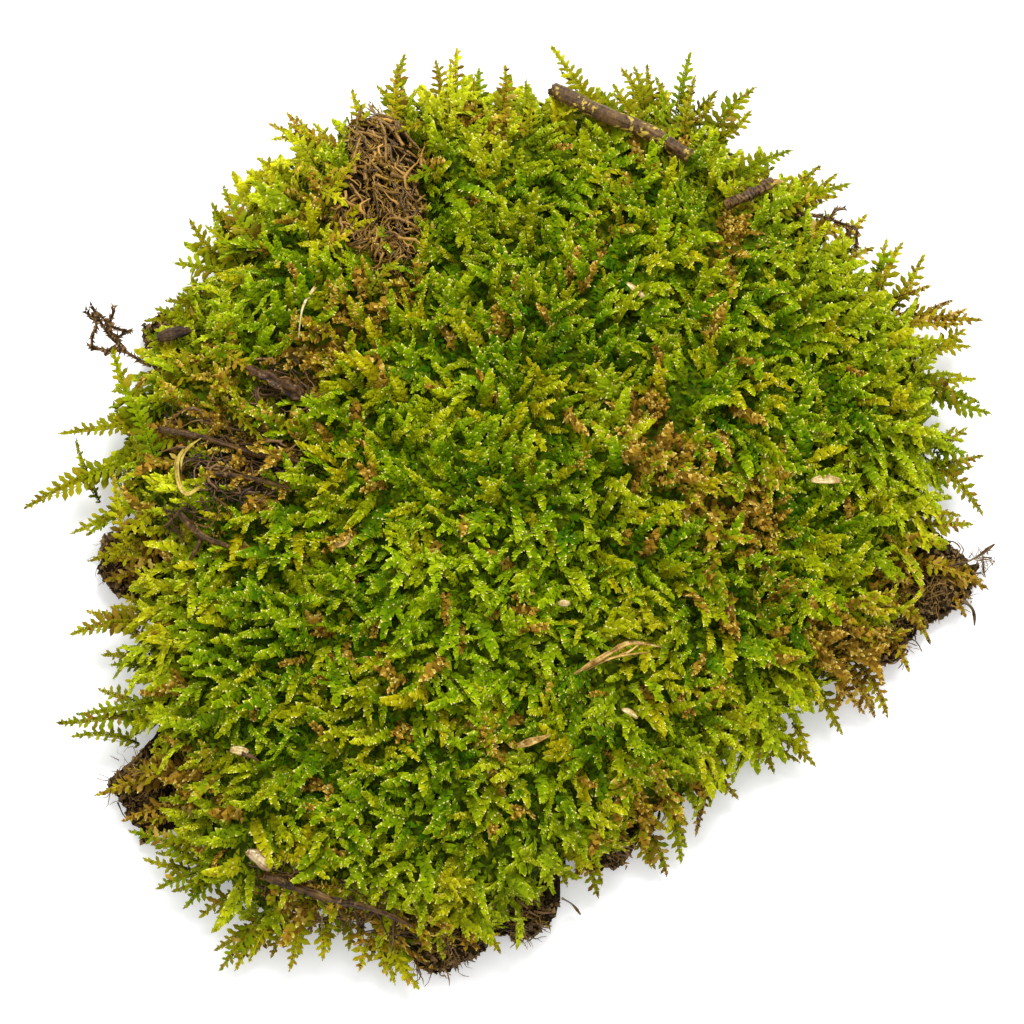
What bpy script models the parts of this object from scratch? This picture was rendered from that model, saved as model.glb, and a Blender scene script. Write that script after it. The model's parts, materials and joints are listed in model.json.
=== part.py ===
# A clump of feather moss, lifted with its soil, twigs and litter, and cut flat beneath.
# Lengths are in metres. The flat cut lies on Z = 0, with the middle of the clump over the origin,
# and the edge that faces the viewer is at -Y.

import math
import random

import bmesh
import bpy
from mathutils import Vector, noise
from mathutils.bvhtree import BVHTree
from mathutils.geometry import delaunay_2d_cdt

MM = 0.001

# Driving dimensions.
CLUMP_WIDTH = 144.8 * MM       # from the tip of the left shoot to the tip of the right one
CROWN_HEIGHT = 18.5 * MM       # top of the cushion, under the tips of its tufts
RIM_HEIGHT = 8.0 * MM          # top of the cushion at its edge
SOIL_HEIGHT = 4.5 * MM         # flat top of the soil, under the cushion
UNDER_SHARE = 0.895            # where the underside's flat part ends, as a share of the way out
SOIL_SHARE = 0.86              # the soil's edge under the cushion, measured the same way
SOIL_ROUGHNESS = 1.3 * MM      # how far its broken side wanders in and out
SOIL_SEGMENTS = 96
SOIL_RINGS = [(3.6 * MM, 1.0), (1.0 * MM, 0.84), (0.0, 0.42), (1.2 * MM, 0.0)]   # inset, share of height
GAP = 0.4 * MM                 # left between neighbours

TUFT_LENGTH, TUFT_WIDTH, TUFT_RISE = 14 * MM, 7.5 * MM, 3.0 * MM
TUFT_COUNT = 124
FRINGE_COUNT = 70              # drooping points round the edge
FRINGE_NOTCH = 0.935           # how far out the notches between them are
FRINGE_TOP = 0.85              # height of those notches, as a share of the rim's
FRINGE_DROOP = (2.6 * MM, 5.0 * MM)   # height of the drooping tips
FRINGE_OVER_SOIL = 6.6 * MM    # and where they lie over bare soil
FRINGE_THICKNESS = 1.1 * MM
TUFTS_OUT = 0.93               # the share of the way out that the tufts reach
POINT_SPACING = 1.5 * MM       # the least distance between two points of the cushion's top
SHOOT_THICKNESS = 1.7 * MM
SHOOT_ARCH = 1.2 * MM          # how far a shoot bows up between its foot and its tip
SHOOT_FOOT_OUT = 0.88          # the share of the way out that every foot keeps inside
SHOOT_FOOT_DEPTH = 1.4 * MM    # how far below the rim it starts
LONG_SHOOT = 9 * MM            # from this length a shoot has a third pair of lobes

# Places are read off the photograph: pixels across and down its 1024 by 1024 frame. One pixel is this
# long at the object, and the camera looks down this steeply.
PICTURE_WIDTH_IN_PIXELS = 965
PIXEL = CLUMP_WIDTH / PICTURE_WIDTH_IN_PIXELS
VIEW_ELEVATION = math.radians(78)
MIDDLE_ACROSS, MIDDLE_DOWN = 507.5, 521.0

# The visible edge of the cushion, clockwise from the upper left.
EDGE = [
    (345, 115), (400, 80), (440, 66), (490, 76), (560, 90), (640, 76), (700, 88), (735, 130), (790, 178),
    (850, 235), (905, 300), (940, 360), (955, 420), (942, 500), (918, 572), (880, 655), (835, 700),
    (745, 745), (710, 790), (650, 835), (590, 862), (545, 910), (470, 938), (400, 945), (300, 930),
    (240, 915), (185, 860), (165, 810), (150, 760), (118, 690), (130, 650), (128, 600), (145, 570),
    (110, 530), (100, 485), (115, 430), (128, 370), (160, 325), (190, 290), (198, 235), (240, 195),
    (270, 155),
]
HEART = (525, 505)             # the point that the cushion's rings close on

# Bare soil outside the cushion: across, down, and how far the lump reaches.
SOIL_LUMPS = [
    (905, 575, 8.0 * MM), (945, 578, 5.0 * MM), (128, 562, 5.0 * MM), (140, 776, 4.6 * MM),
    (170, 800, 6.0 * MM), (440, 925, 6.4 * MM), (515, 900, 6.0 * MM), (606, 835, 5.0 * MM),
    (172, 340, 5.0 * MM), (866, 632, 6.0 * MM),
]

# Hollows in the top of the cushion: across, down, radius and depth.
HOLLOWS = [
    (380, 165, 8.5 * MM, 3.0 * MM), (378, 238, 8.0 * MM, 3.0 * MM), (283, 392, 6.5 * MM, 4.2 * MM),
    (235, 455, 7.5 * MM, 2.4 * MM), (195, 525, 5.0 * MM, 2.0 * MM), (620, 122, 8.5 * MM, 1.6 * MM),
    (752, 192, 5.5 * MM, 1.5 * MM), (340, 886, 7.0 * MM, 1.4 * MM),
]

# Swellings of the cushion: across, down, radius and rise.
MOUNDS = [
    (262, 318, 10 * MM, 2.6 * MM), (300, 188, 8 * MM, 1.8 * MM), (480, 150, 14 * MM, 1.4 * MM),
    (655, 215, 12 * MM, 1.2 * MM), (860, 345, 13 * MM, 2.2 * MM), (480, 565, 16 * MM, 1.5 * MM),
    (290, 700, 18 * MM, 1.6 * MM), (480, 800, 15 * MM, 1.8 * MM), (800, 570, 12 * MM, 1.4 * MM),
    (660, 700, 12 * MM, 1.2 * MM), (150, 470, 8 * MM, 1.2 * MM), (280, 860, 10 * MM, 1.0 * MM),
]

# Shoots that reach out past the fringe: tip, foot, height of the tip and width across the lobes, in mm.
LONG_SHOOTS = [
    ((25, 507), (100, 475), 5.0, 4.0), ((62, 433), (138, 418), 7.5, 3.4),
    ((112, 352), (142, 418), 10.0, 4.6), ((74, 532), (110, 510), 4.5, 3.0),
    ((75, 633), (128, 625), 5.0, 4.0), ((63, 722), (122, 711), 5.5, 3.4),
    ((135, 830), (185, 853), 4.0, 3.6), ((270, 121), (322, 142), 9.0, 3.4),
    ((402, 51), (398, 104), 8.5, 3.2), ((456, 44), (455, 84), 9.0, 3.2), ((553, 42), (594, 100), 10.5, 4.0),
    ((692, 49), (682, 96), 8.5, 2.8), ((755, 84), (722, 122), 8.0, 4.2), ((850, 181), (792, 197), 8.0, 3.4),
    ((981, 318), (922, 312), 6.5, 3.4), ((990, 412), (944, 394), 6.0, 3.6),
    ((982, 511), (948, 474), 4.5, 3.2), ((812, 762), (776, 734), 2.6, 3.2),
    ((665, 869), (652, 836), 2.4, 4.0), ((597, 891), (586, 858), 2.6, 3.2),
    ((418, 982), (398, 948), 3.4, 3.2), ((225, 963), (250, 925), 3.0, 3.6),
]

# The same for shorter ones.
SHORT_SHOOTS = [
    ((144, 331), (165, 350), 8.0, 3.0), ((176, 262), (212, 268), 9.0, 3.6),
    ((189, 221), (215, 252), 9.0, 3.6), ((222, 187), (254, 235), 9.5, 4.2),
    ((247, 170), (270, 190), 9.0, 3.0), ((351, 88), (362, 122), 8.5, 3.0),
    ((377, 82), (402, 104), 8.0, 2.6), ((505, 62), (500, 104), 8.5, 3.2), ((526, 78), (524, 110), 9.0, 3.0),
    ((630, 63), (640, 98), 8.0, 3.6), ((652, 60), (658, 98), 8.0, 2.8), ((791, 147), (745, 172), 8.0, 3.2),
    ((822, 163), (795, 192), 7.0, 3.0), ((904, 243), (888, 280), 7.0, 3.4),
    ((926, 256), (902, 296), 7.0, 3.4), ((970, 345), (926, 352), 6.0, 3.4),
    ((982, 456), (944, 462), 4.8, 3.0), ((970, 524), (932, 524), 4.5, 3.4),
    ((886, 712), (862, 672), 3.0, 3.4), ((840, 730), (822, 692), 2.8, 3.2),
    ((772, 768), (756, 732), 2.6, 3.2), ((735, 795), (718, 766), 2.6, 3.0),
    ((499, 946), (486, 920), 3.0, 3.0), ((362, 963), (372, 934), 3.0, 3.4),
    ((293, 962), (298, 922), 3.0, 3.6), ((190, 902), (216, 876), 3.4, 3.4),
    ((103, 792), (146, 772), 6.3, 3.0), ((93, 560), (130, 540), 6.4, 3.0),
    ((680, 857), (672, 822), 2.6, 3.0), ((325, 952), (322, 924), 3.0, 3.2),
]

# Litter that lies on the moss, by pixels of the photograph. Radii, widths and heights are in millimetres.
STRANDS = {
    "curled_straw": ([(185, 450), (179, 463), (181, 480), (190, 494), (203, 487)], 0.45, "straw"),
    "pale_straw": ([(316, 288), (304, 308), (299, 340)], 0.30, "husk"),
    "dry_straw": ([(572, 672), (600, 655), (628, 641), (660, 645)], 0.45, "straw"),
    "old_stem_upper": ([(160, 430), (205, 438), (250, 452), (305, 464)], 0.55, "dead_stems"),
    "old_stem_lower": ([(214, 474), (250, 478), (292, 488)], 0.45, "dead_stems"),
    "bent_root": ([(182, 514), (205, 536), (232, 546)], 0.60, "dead_stems"),
    "front_stem": ([(285, 876), (330, 890), (380, 904), (425, 926)], 0.75, "dead_stems"),
    "broken_stem": ([(253, 846), (263, 853), (274, 862)], 0.60, "husk"),
}
# A main stem and its arms: across, down and height of each point.
SPRIGS = {
    "dead_sprig": (0.50, "dead_stems", [
        [(148, 366, 10.0), (122, 350, 9.6), (104, 330, 9.4), (90, 306, 9.6)],
        [(104, 330, 9.4), (108, 318, 9.6), (110, 309, 9.6)],
        [(122, 350, 9.6), (104, 350, 9.2), (88, 345, 8.8)],
    ]),
    "dead_shoot": (0.45, "dead_stems", [
        [(790, 210, 9.5), (822, 214, 9.4), (850, 224, 9.0), (853, 241, 8.6)],
        [(850, 224, 9.0), (860, 228, 9.0), (857, 256, 8.4)],
    ]),
    "stalk_right": (0.30, "dead_stems", [[(950, 566, 5.4), (972, 560, 5.6), (995, 544, 6.4)]]),
    "root_end_right": (0.40, "dead_stems", [[(962, 600, 2.2), (974, 610, 1.8), (976, 626, 1.2)]]),
    "stalk_front": (0.30, "dead_stems", [[(562, 894, 3.0), (572, 902, 2.6), (580, 912, 2.0)]]),
}
TWIGS = {
    "twig_long": ([(556, 90), (600, 111), (652, 131), (686, 154)], [1.15, 1.2, 1.1, 1.0], 0.7),
    "twig_short": ([(728, 203), (752, 192), (774, 179)], [0.75, 0.85, 0.8], 0.5),
}
# Both ends, width, thickness and finish.
CHIPS = {
    "bark_chip": ((158, 337), (190, 330), 2.0, 1.2, "dead_stems"),
    "wood_fragment": ((246, 368), (302, 396), 2.2, 1.6, "dead_stems"),
    "husk_right": ((808, 481), (837, 481), 1.4, 1.0, "husk"),
    "husk_left": ((236, 746), (251, 748), 1.5, 0.9, "husk"),
    "seed": ((558, 602), (569, 602), 1.1, 0.9, "husk"),
    "leaf_scrap": ((338, 546), (352, 538), 1.5, 0.6, "straw"),
    "tan_flake": ((516, 742), (549, 731), 1.2, 0.5, "straw"),
    "pale_flake_upper": ((626, 284), (644, 299), 0.9, 0.5, "husk"),
    "pale_flake_lower": ((620, 706), (635, 714), 0.9, 0.5, "husk"),
}
# The bared tangle of old stems: its edge, its middle, how deep it is, and the radius of its stems.
TANGLE_EDGE = [
    (350, 126), (384, 114), (408, 138), (418, 182), (424, 232), (404, 266), (372, 258), (338, 238),
    (340, 205), (348, 165),
]
TANGLE_MIDDLE = (384, 190)
TANGLE_DEPTH = 1.9 * MM
TANGLE_STEM = 0.55 * MM
TANGLE_CLEARANCE = 2.4 * MM    # the pad lies over the highest moss within this distance
TANGLE_STEMS = [
    [(354, 130), (376, 154), (400, 188)], [(352, 158), (380, 168), (408, 174)],
    [(398, 132), (382, 166), (354, 200)], [(350, 186), (380, 204), (412, 216)],
    [(400, 152), (408, 192), (396, 240)], [(350, 214), (372, 236), (402, 250)],
]

# Colour (linear) and roughness of each finish.
FINISHES = {
    "moss": ((0.085, 0.16, 0.006), 0.55),
    "soil": ((0.055, 0.034, 0.016), 0.95),
    "dead_stems": ((0.14, 0.07, 0.022), 0.8),
    "bark": ((0.19, 0.12, 0.06), 0.8),
    "straw": ((0.45, 0.33, 0.12), 0.6),
    "husk": ((0.66, 0.56, 0.28), 0.45),
}


def clear_scene():
    for thing in list(bpy.data.objects):
        bpy.data.objects.remove(thing, do_unlink=True)


def make_finishes():
    made = {}
    for name, (colour, roughness) in FINISHES.items():
        finish = bpy.data.materials.new(name)
        finish.use_nodes = True
        shader = finish.node_tree.nodes["Principled BSDF"]
        shader.inputs["Base Color"].default_value = (*colour, 1)
        shader.inputs["Roughness"].default_value = roughness
        shader.inputs["Metallic"].default_value = 0
        finish.diffuse_color = (*colour, 1)
        made[name] = finish
    return made


def place(across, down, height):
    """The point that lies at this height behind a pixel of the photograph."""
    x = (across - MIDDLE_ACROSS) * PIXEL
    y = (MIDDLE_DOWN - down) * PIXEL / math.sin(VIEW_ELEVATION) - height / math.tan(VIEW_ELEVATION)
    return Vector((x, y, height))


def add_solid(name, bm, finish, finishes):
    """A new object from closed shapes in bm, with every face turned outwards."""
    bmesh.ops.recalc_face_normals(bm, faces=bm.faces)
    bmesh.ops.triangulate(bm, faces=bm.faces)
    mesh = bpy.data.meshes.new(name)
    bm.to_mesh(mesh)
    bm.free()
    mesh.materials.append(finishes[finish])
    solid = bpy.data.objects.new(name, mesh)
    bpy.context.scene.collection.objects.link(solid)
    return solid


def smooth_route(points, steps, closed=False):
    """Points on a smooth curve through the given ones, with this many steps to each stretch."""
    count = len(points)
    stretches = count if closed else count - 1
    route = []
    for i in range(stretches):
        if closed:
            a, b, c, d = (points[(i + k) % count] for k in (-1, 0, 1, 2))
        else:
            a, b = points[max(i - 1, 0)], points[i]
            c, d = points[i + 1], points[min(i + 2, count - 1)]
        for step in range(steps):
            t = step / steps
            route.append(
                b * (1 - 2.5 * t * t + 1.5 * t ** 3) + c * (0.5 * t + 2 * t * t - 1.5 * t ** 3)
                + a * (-0.5 * t + t * t - 0.5 * t ** 3) + d * (0.5 * t ** 3 - 0.5 * t * t)
            )
    if not closed:
        route.append(points[-1].copy())
    return route


def bridge(bm, first, second):
    for i in range(len(first)):
        j = (i + 1) % len(first)
        bm.faces.new((first[i], first[j], second[j], second[i]))


def add_tube(bm, route, radii, sides, end_share=0.55):
    """A closed tube along the route, with a bevelled end at each of its ends."""
    rings = []
    across = None
    last = len(route) - 1
    for i, point in enumerate(route):
        along = (route[min(i + 1, last)] - route[max(i - 1, 0)]).normalized()
        across = along.orthogonal() if across is None else across - along * across.dot(along)
        across.normalize()
        other = along.cross(across)
        for lift, share in [(-0.35, end_share)] * (i == 0) + [(0, 1)] + [(0.35, end_share)] * (i == last):
            middle = point + along * (lift * radii[i])
            ring = []
            for k in range(sides):
                turn = 2 * math.pi * k / sides
                out = across * math.cos(turn) + other * math.sin(turn)
                ring.append(bm.verts.new(middle + out * radii[i] * share))
            rings.append(ring)
    for first, second in zip(rings, rings[1:]):
        bridge(bm, first, second)
    bm.faces.new(rings[0])
    bm.faces.new(rings[-1])


def add_feather(bm, foot, tip, width, lobes):
    """A shoot as a long ridge with pairs of lobes, narrow at its foot and closing to a point."""
    length = (tip - foot).length
    along = (tip - foot).normalized()
    side = along.cross(Vector((0, 0, 1))).normalized()
    up = side.cross(along)
    stations = [(0.0, 0.42)]
    for lobe in range(lobes):
        full = 1 - 0.75 * ((lobe + 0.35) / lobes) ** 1.2
        stations.append(((lobe + 0.18) / lobes, 0.42 * full))
        stations.append(((lobe + 0.82) / lobes, full))
    rings = []
    for t, share in stations:
        middle = foot + along * (length * t * 0.96) + up * (SHOOT_ARCH * math.sin(math.pi * t))
        deep = SHOOT_THICKNESS * (1 - 0.55 * t)
        half = width / 2 * share
        over, under = up * deep * 0.55, up * deep * -0.45
        ring = [middle - side * half, middle + over, middle + side * half, middle + under]
        rings.append([bm.verts.new(point) for point in ring])
    for first, second in zip(rings, rings[1:]):
        bridge(bm, first, second)
    bm.faces.new(rings[0])
    point = bm.verts.new(tip)
    for k in range(4):
        bm.faces.new((rings[-1][k], rings[-1][(k + 1) % 4], point))


def hollow_depth(x, y):
    depth = 0.0
    for across, down, radius, deep in HOLLOWS:
        middle = place(across, down, CROWN_HEIGHT * 0.8)
        share = math.hypot(x - middle.x, y - middle.y) / radius
        depth = max(depth, deep * max(0.0, 1 - share * share))
    return depth


def swelling(x, y):
    rise = 0.0
    for across, down, radius, high in MOUNDS:
        middle = place(across, down, CROWN_HEIGHT * 0.8)
        share = math.hypot(x - middle.x, y - middle.y) / radius
        rise += high * max(0.0, 1 - share * share)
    return rise


def cushion_height(x, y, out):
    """Height of the cushion's top, where out is 0 at its heart and 1 at its edge."""
    dome = RIM_HEIGHT + (CROWN_HEIGHT - RIM_HEIGHT) * max(0.0, 1 - out ** 2.6) ** 0.75
    lumps = noise.noise(Vector((x, y, 0.3)) * 62) * 2.1 * MM
    lumps += noise.noise(Vector((x, y, 1.7)) * 140) * 1.1 * MM
    return dome + lumps * (1 - 0.6 * out) + swelling(x, y) - hollow_depth(x, y) * (1 - 0.4 * out)


class Ground:
    """The clump's plan: a point's share of the way from the heart to the edge, and the reverse."""

    def __init__(self):
        self.heart = place(*HEART, RIM_HEIGHT).xy
        edge = [place(across, down, RIM_HEIGHT) for across, down in EDGE]
        self.edge = [point.xy for point in smooth_route(edge, 4, closed=True)]
        self.turns = [self.turn_of(point) for point in self.edge]

    def turn_of(self, point):
        return math.atan2(point.y - self.heart.y, point.x - self.heart.x) % (2 * math.pi)

    def reach(self, turn):
        """How far the edge is from the heart in this direction."""
        turn %= 2 * math.pi
        best = 0.0
        for i, first in enumerate(self.edge):
            second = self.edge[(i + 1) % len(self.edge)]
            start, end = self.turns[i], self.turns[(i + 1) % len(self.edge)]
            swing = (end - start + math.pi) % (2 * math.pi) - math.pi
            gone = (turn - start + math.pi) % (2 * math.pi) - math.pi
            if swing and 0 <= gone / swing <= 1:
                point = first.lerp(second, gone / swing)
                best = max(best, (point - self.heart).length)
        return best

    def at(self, turn, out):
        radius = self.reach(turn) * out
        return Vector((self.heart.x + radius * math.cos(turn), self.heart.y + radius * math.sin(turn)))

    def out_of(self, point):
        away = math.hypot(point.x - self.heart.x, point.y - self.heart.y)
        return away / self.reach(self.turn_of(point))

    def top(self, point):
        return cushion_height(point.x, point.y, min(self.out_of(point), 1.0))


def add_rings(bm, rings):
    """Closes a stack of rings into a solid: a point at its top, and a flat cut below."""
    made = [[bm.verts.new(point) for point in ring] for ring in rings[1:]]
    crown = bm.verts.new(rings[0])
    for i in range(len(made[0])):
        bm.faces.new((crown, made[0][i], made[0][(i + 1) % len(made[0])]))
    for first, second in zip(made, made[1:]):
        bridge(bm, first, second)
    bm.faces.new(made[-1])


def is_hollow(point):
    return hollow_depth(point.x, point.y) > 1.1 * MM


class Tuft:
    """A lock of moss that lies outwards over the cushion: it rises along its length and ends bluntly."""

    def __init__(self, ground, chance, number):
        golden = math.pi * (3 - math.sqrt(5))
        out = TUFTS_OUT * math.sqrt((number + 0.5) / TUFT_COUNT)
        turn = number * golden
        heading = turn + chance.uniform(-0.7, 0.7)
        self.foot = ground.at(turn, max(out - 0.09, 0))
        self.along = Vector((math.cos(heading), math.sin(heading)))
        self.side = Vector((-self.along.y, self.along.x))
        self.length = TUFT_LENGTH * chance.uniform(0.75, 1.2)
        self.half = TUFT_WIDTH / 2 * chance.uniform(0.8, 1.2)
        self.rise = TUFT_RISE * chance.uniform(0.7, 1.15) * (0.25 if is_hollow(self.at(0.6, 0)) else 1)

    def at(self, t, s):
        """The point of the plan at a share t along the tuft and s across it."""
        return self.foot + self.along * (t * self.length) + self.side * (s * self.half)

    def rise_at(self, point):
        offset = point - self.foot
        t = offset.dot(self.along) / self.length
        s = abs(offset.dot(self.side)) / self.half
        if not 0 < t < 1 or s > 1:
            return 0.0
        lengthwise = min(t / 0.84, (1 - t) / 0.16)
        return self.rise * lengthwise ** 0.8 * (1 - s ** 2)


def cushion_top(ground, tufts, edge):
    """Points of the plan for the cushion's top: along each tuft's ridge first, then down its sides."""
    wanted = [tuft.at(t, 0) for t in (0.84, 0.55, 0.28) for tuft in tufts]
    wanted += [tuft.at(1.03, 0) for tuft in tufts]
    sides = ((0.7, 1.0), (0.7, -1.0), (0.35, 1.0), (0.35, -1.0))
    wanted += [tuft.at(t, s) for t, s in sides for tuft in tufts]
    kept = list(edge)
    for point in wanted:
        if ground.out_of(point) > TUFTS_OUT:
            continue
        if all((point - other).length > POINT_SPACING for other in kept):
            kept.append(point)
    return kept


def fringe_edge(ground, chance):
    """The ragged edge: points that droop over the soil, with a notch before each."""
    lumps = [place(across, down, SOIL_HEIGHT).xy for across, down, _ in SOIL_LUMPS]
    edge, heights = [], []
    for i in range(FRINGE_COUNT):
        notch_turn = 2 * math.pi * (i + chance.uniform(-0.12, 0.12)) / FRINGE_COUNT
        tip_turn = 2 * math.pi * (i + 0.5 + chance.uniform(-0.22, 0.22)) / FRINGE_COUNT
        tip = ground.at(tip_turn, chance.uniform(0.985, 1.03))
        bare = any((tip - lump).length < 9 * MM for lump in lumps)
        edge += [ground.at(notch_turn, FRINGE_NOTCH), tip]
        heights += [RIM_HEIGHT * FRINGE_TOP, FRINGE_OVER_SOIL if bare else chance.uniform(*FRINGE_DROOP)]
    return edge, heights


def cushion(ground, chance):
    """The cushion with its tufts and fringe, flat beneath where it lies on the soil."""
    edge, heights = fringe_edge(ground, chance)
    tufts = [Tuft(ground, chance, number) for number in range(TUFT_COUNT)]
    plan = cushion_top(ground, tufts, edge)
    rim = len(edge)
    found, _, faces, origins, _, _ = delaunay_2d_cdt(plan, [], [list(range(rim))], 1, 1e-7)
    bm = bmesh.new()
    top = []
    for point, origin in zip(found, origins):
        if origin[0] < rim:
            height = heights[origin[0]]
        else:
            height = ground.top(point) + max(tuft.rise_at(point) for tuft in tufts)
        top.append(bm.verts.new((point.x, point.y, height)))
    for face in faces:
        bm.faces.new([top[k] for k in face])
    at_edge = {origin[0]: vertex for origin, vertex in zip(origins, top) if origin[0] < rim}
    edge_ring = [at_edge[k] for k in range(rim)]
    under_ring, flat_ring = [], []
    for k, point in enumerate(edge):
        under_ring.append(bm.verts.new((point.x, point.y, heights[k] - FRINGE_THICKNESS)))
        inner = ground.at(ground.turn_of(point), UNDER_SHARE)
        flat_ring.append(bm.verts.new((inner.x, inner.y, SOIL_HEIGHT + GAP)))
    bridge(bm, edge_ring, under_ring)
    bridge(bm, under_ring, flat_ring)
    bm.faces.new(flat_ring)
    return bm


def shoots(ground):
    """The shoots that reach past the fringe, each rooted inside the cushion's edge."""
    feathers = []
    for tip, foot, height, width in LONG_SHOOTS + SHORT_SHOOTS:
        end = place(*tip, height * MM)
        start = place(*foot, RIM_HEIGHT).xy
        start = ground.at(ground.turn_of(start), min(ground.out_of(start), SHOOT_FOOT_OUT))
        inner = Vector((start.x, start.y, RIM_HEIGHT - SHOOT_FOOT_DEPTH))
        lobes = 2 if (end - inner).length < LONG_SHOOT else 3
        feathers.append((inner, end, width * MM, lobes))
    return feathers


def keep_outer_shell(mesh):
    """Fills the small voids that crossing shapes shut in, by dropping every shell but the largest."""
    bm = bmesh.new()
    bm.from_mesh(mesh)
    waiting = set(bm.verts)
    shells = []
    while waiting:
        shell = []
        edge = [waiting.pop()]
        while edge:
            vertex = edge.pop()
            shell.append(vertex)
            for link in vertex.link_edges:
                other = link.other_vert(vertex)
                if other in waiting:
                    waiting.remove(other)
                    edge.append(other)
        shells.append(shell)
    shells.sort(key=len)
    for shell in shells[:-1]:
        bmesh.ops.delete(bm, geom=shell, context="VERTS")
    bm.to_mesh(mesh)
    bm.free()


def join_shape(solid, other):
    """Makes one body of a solid and a shape that grows out of it. Where many cross, EXACT leaves gaps."""
    union = solid.modifiers.new("Union", "BOOLEAN")
    union.operation = "UNION"
    union.solver = "MANIFOLD"
    union.object = other
    bpy.context.view_layer.update()
    graph = bpy.context.evaluated_depsgraph_get()
    mesh = bpy.data.meshes.new_from_object(solid.evaluated_get(graph))
    solid.modifiers.remove(union)
    solid.data = mesh
    bpy.data.objects.remove(other, do_unlink=True)


def make_moss_mat(ground, finishes):
    chance = random.Random(11)
    mat = add_solid("moss_mat", cushion(ground, chance), "moss", finishes)
    for shoot in shoots(ground):
        bm = bmesh.new()
        add_feather(bm, *shoot)
        join_shape(mat, add_solid("shoot", bm, "moss", finishes))
    keep_outer_shell(mat.data)
    return mat


def make_soil(ground, finishes):
    """The soil under the cushion, with lumps where it is bare at the edge."""
    lumps = [(place(across, down, SOIL_HEIGHT * 0.5).xy, radius) for across, down, radius in SOIL_LUMPS]

    def edge_of(turn):
        out = ground.reach(turn) * (SOIL_SHARE + 0.02 * noise.noise(Vector((turn * 4, 0.5, 0))))
        for middle, radius in lumps:
            away = (middle - ground.heart).length
            swing = (turn - ground.turn_of(middle) + math.pi) % (2 * math.pi) - math.pi
            beside = away * math.sin(swing)
            if abs(swing) < 0.5 and abs(beside) < radius:
                out = max(out, away * math.cos(swing) + math.sqrt(radius ** 2 - beside ** 2))
        return out

    turns = [2 * math.pi * i / SOIL_SEGMENTS for i in range(SOIL_SEGMENTS)]
    reach = [edge_of(turn) for turn in turns]
    rings = [Vector((ground.heart.x, ground.heart.y, SOIL_HEIGHT))]
    for inset, height in SOIL_RINGS:
        ring = []
        for i, turn in enumerate(turns):
            rough = noise.noise(Vector((math.cos(turn) * 9, math.sin(turn) * 9, height * 3)))
            radius = reach[i] - inset + rough * SOIL_ROUGHNESS
            x = ground.heart.x + radius * math.cos(turn)
            y = ground.heart.y + radius * math.sin(turn)
            lift = 0 if height in (0.0, 1.0) else rough * 0.4 * SOIL_ROUGHNESS
            ring.append(Vector((x, y, SOIL_HEIGHT * height + lift)))
        rings.append(ring)
    bm = bmesh.new()
    add_rings(bm, rings)
    return add_solid("soil", bm, "soil", finishes)


def tree_of(solids):
    """A search tree over several objects' meshes, for laying the litter on them."""
    points, faces = [], []
    for solid in solids:
        start = len(points)
        points += [vertex.co.copy() for vertex in solid.data.vertices]
        faces += [[start + k for k in polygon.vertices] for polygon in solid.data.polygons]
    return BVHTree.FromPolygons(points, faces)


def surface_under(tree, point, spread):
    """The highest surface within this distance of a point, seen from above."""
    highest = 0.0
    round_it = [(math.cos(k * math.pi / 4), math.sin(k * math.pi / 4)) for k in range(8)]
    for dx, dy in [(0, 0)] + round_it:
        start = Vector((point.x + dx * spread, point.y + dy * spread, 0.08))
        hit = tree.ray_cast(start, Vector((0, 0, -1)))[0]
        if hit is not None:
            highest = max(highest, hit.z)
    return highest


def resting(tree, across, down, radius):
    """The point behind a pixel where something of this radius lies on the surface."""
    height = CROWN_HEIGHT
    for _ in range(6):
        found = surface_under(tree, place(across, down, height), radius + GAP) + radius + GAP
        height = (height + max(found, RIM_HEIGHT)) / 2
    point = place(across, down, height)
    point.z = max(point.z, surface_under(tree, point, radius + GAP) + radius + GAP)
    return point


def lay_route(tree, pixels, radius, steps):
    """A route through pixels of the photograph, lying on whatever is below it."""
    points = [resting(tree, across, down, radius) for across, down in pixels]
    route = smooth_route(points, steps)
    for point in route:
        point.z = max(point.z, surface_under(tree, point, radius + GAP) + radius + GAP)
    return route


def tapered(radius, count, share):
    return [radius * (1 - (1 - share) * i / (count - 1)) for i in range(count)]


def make_strands(tree, finishes):
    """Old stems, straws and roots that lie over the moss, as bent tubes."""
    for name, (pixels, radius, finish) in STRANDS.items():
        route = lay_route(tree, pixels, radius * MM, 3)
        bm = bmesh.new()
        add_tube(bm, route, tapered(radius * MM, len(route), 0.75), 5)
        add_solid(name, bm, finish, finishes)


def make_sprigs(tree, finishes):
    """Dead branched shoots and thin stalks at the edge: a main stem, and arms that grow out of it."""
    for name, (radius, finish, branches) in SPRIGS.items():
        parts = []
        for k, branch in enumerate(branches):
            points = [place(across, down, height * MM) for across, down, height in branch]
            route = smooth_route(points, 2)
            size = radius * MM * (1 if k == 0 else 0.8)
            for point in route:
                point.z = max(point.z, surface_under(tree, point, size + GAP) + size + GAP)
            bm = bmesh.new()
            add_tube(bm, route, tapered(size, len(route), 0.6), 5)
            parts.append(add_solid(name if k == 0 else "arm", bm, finish, finishes))
        for arm in parts[1:]:
            join_shape(parts[0], arm)


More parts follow.
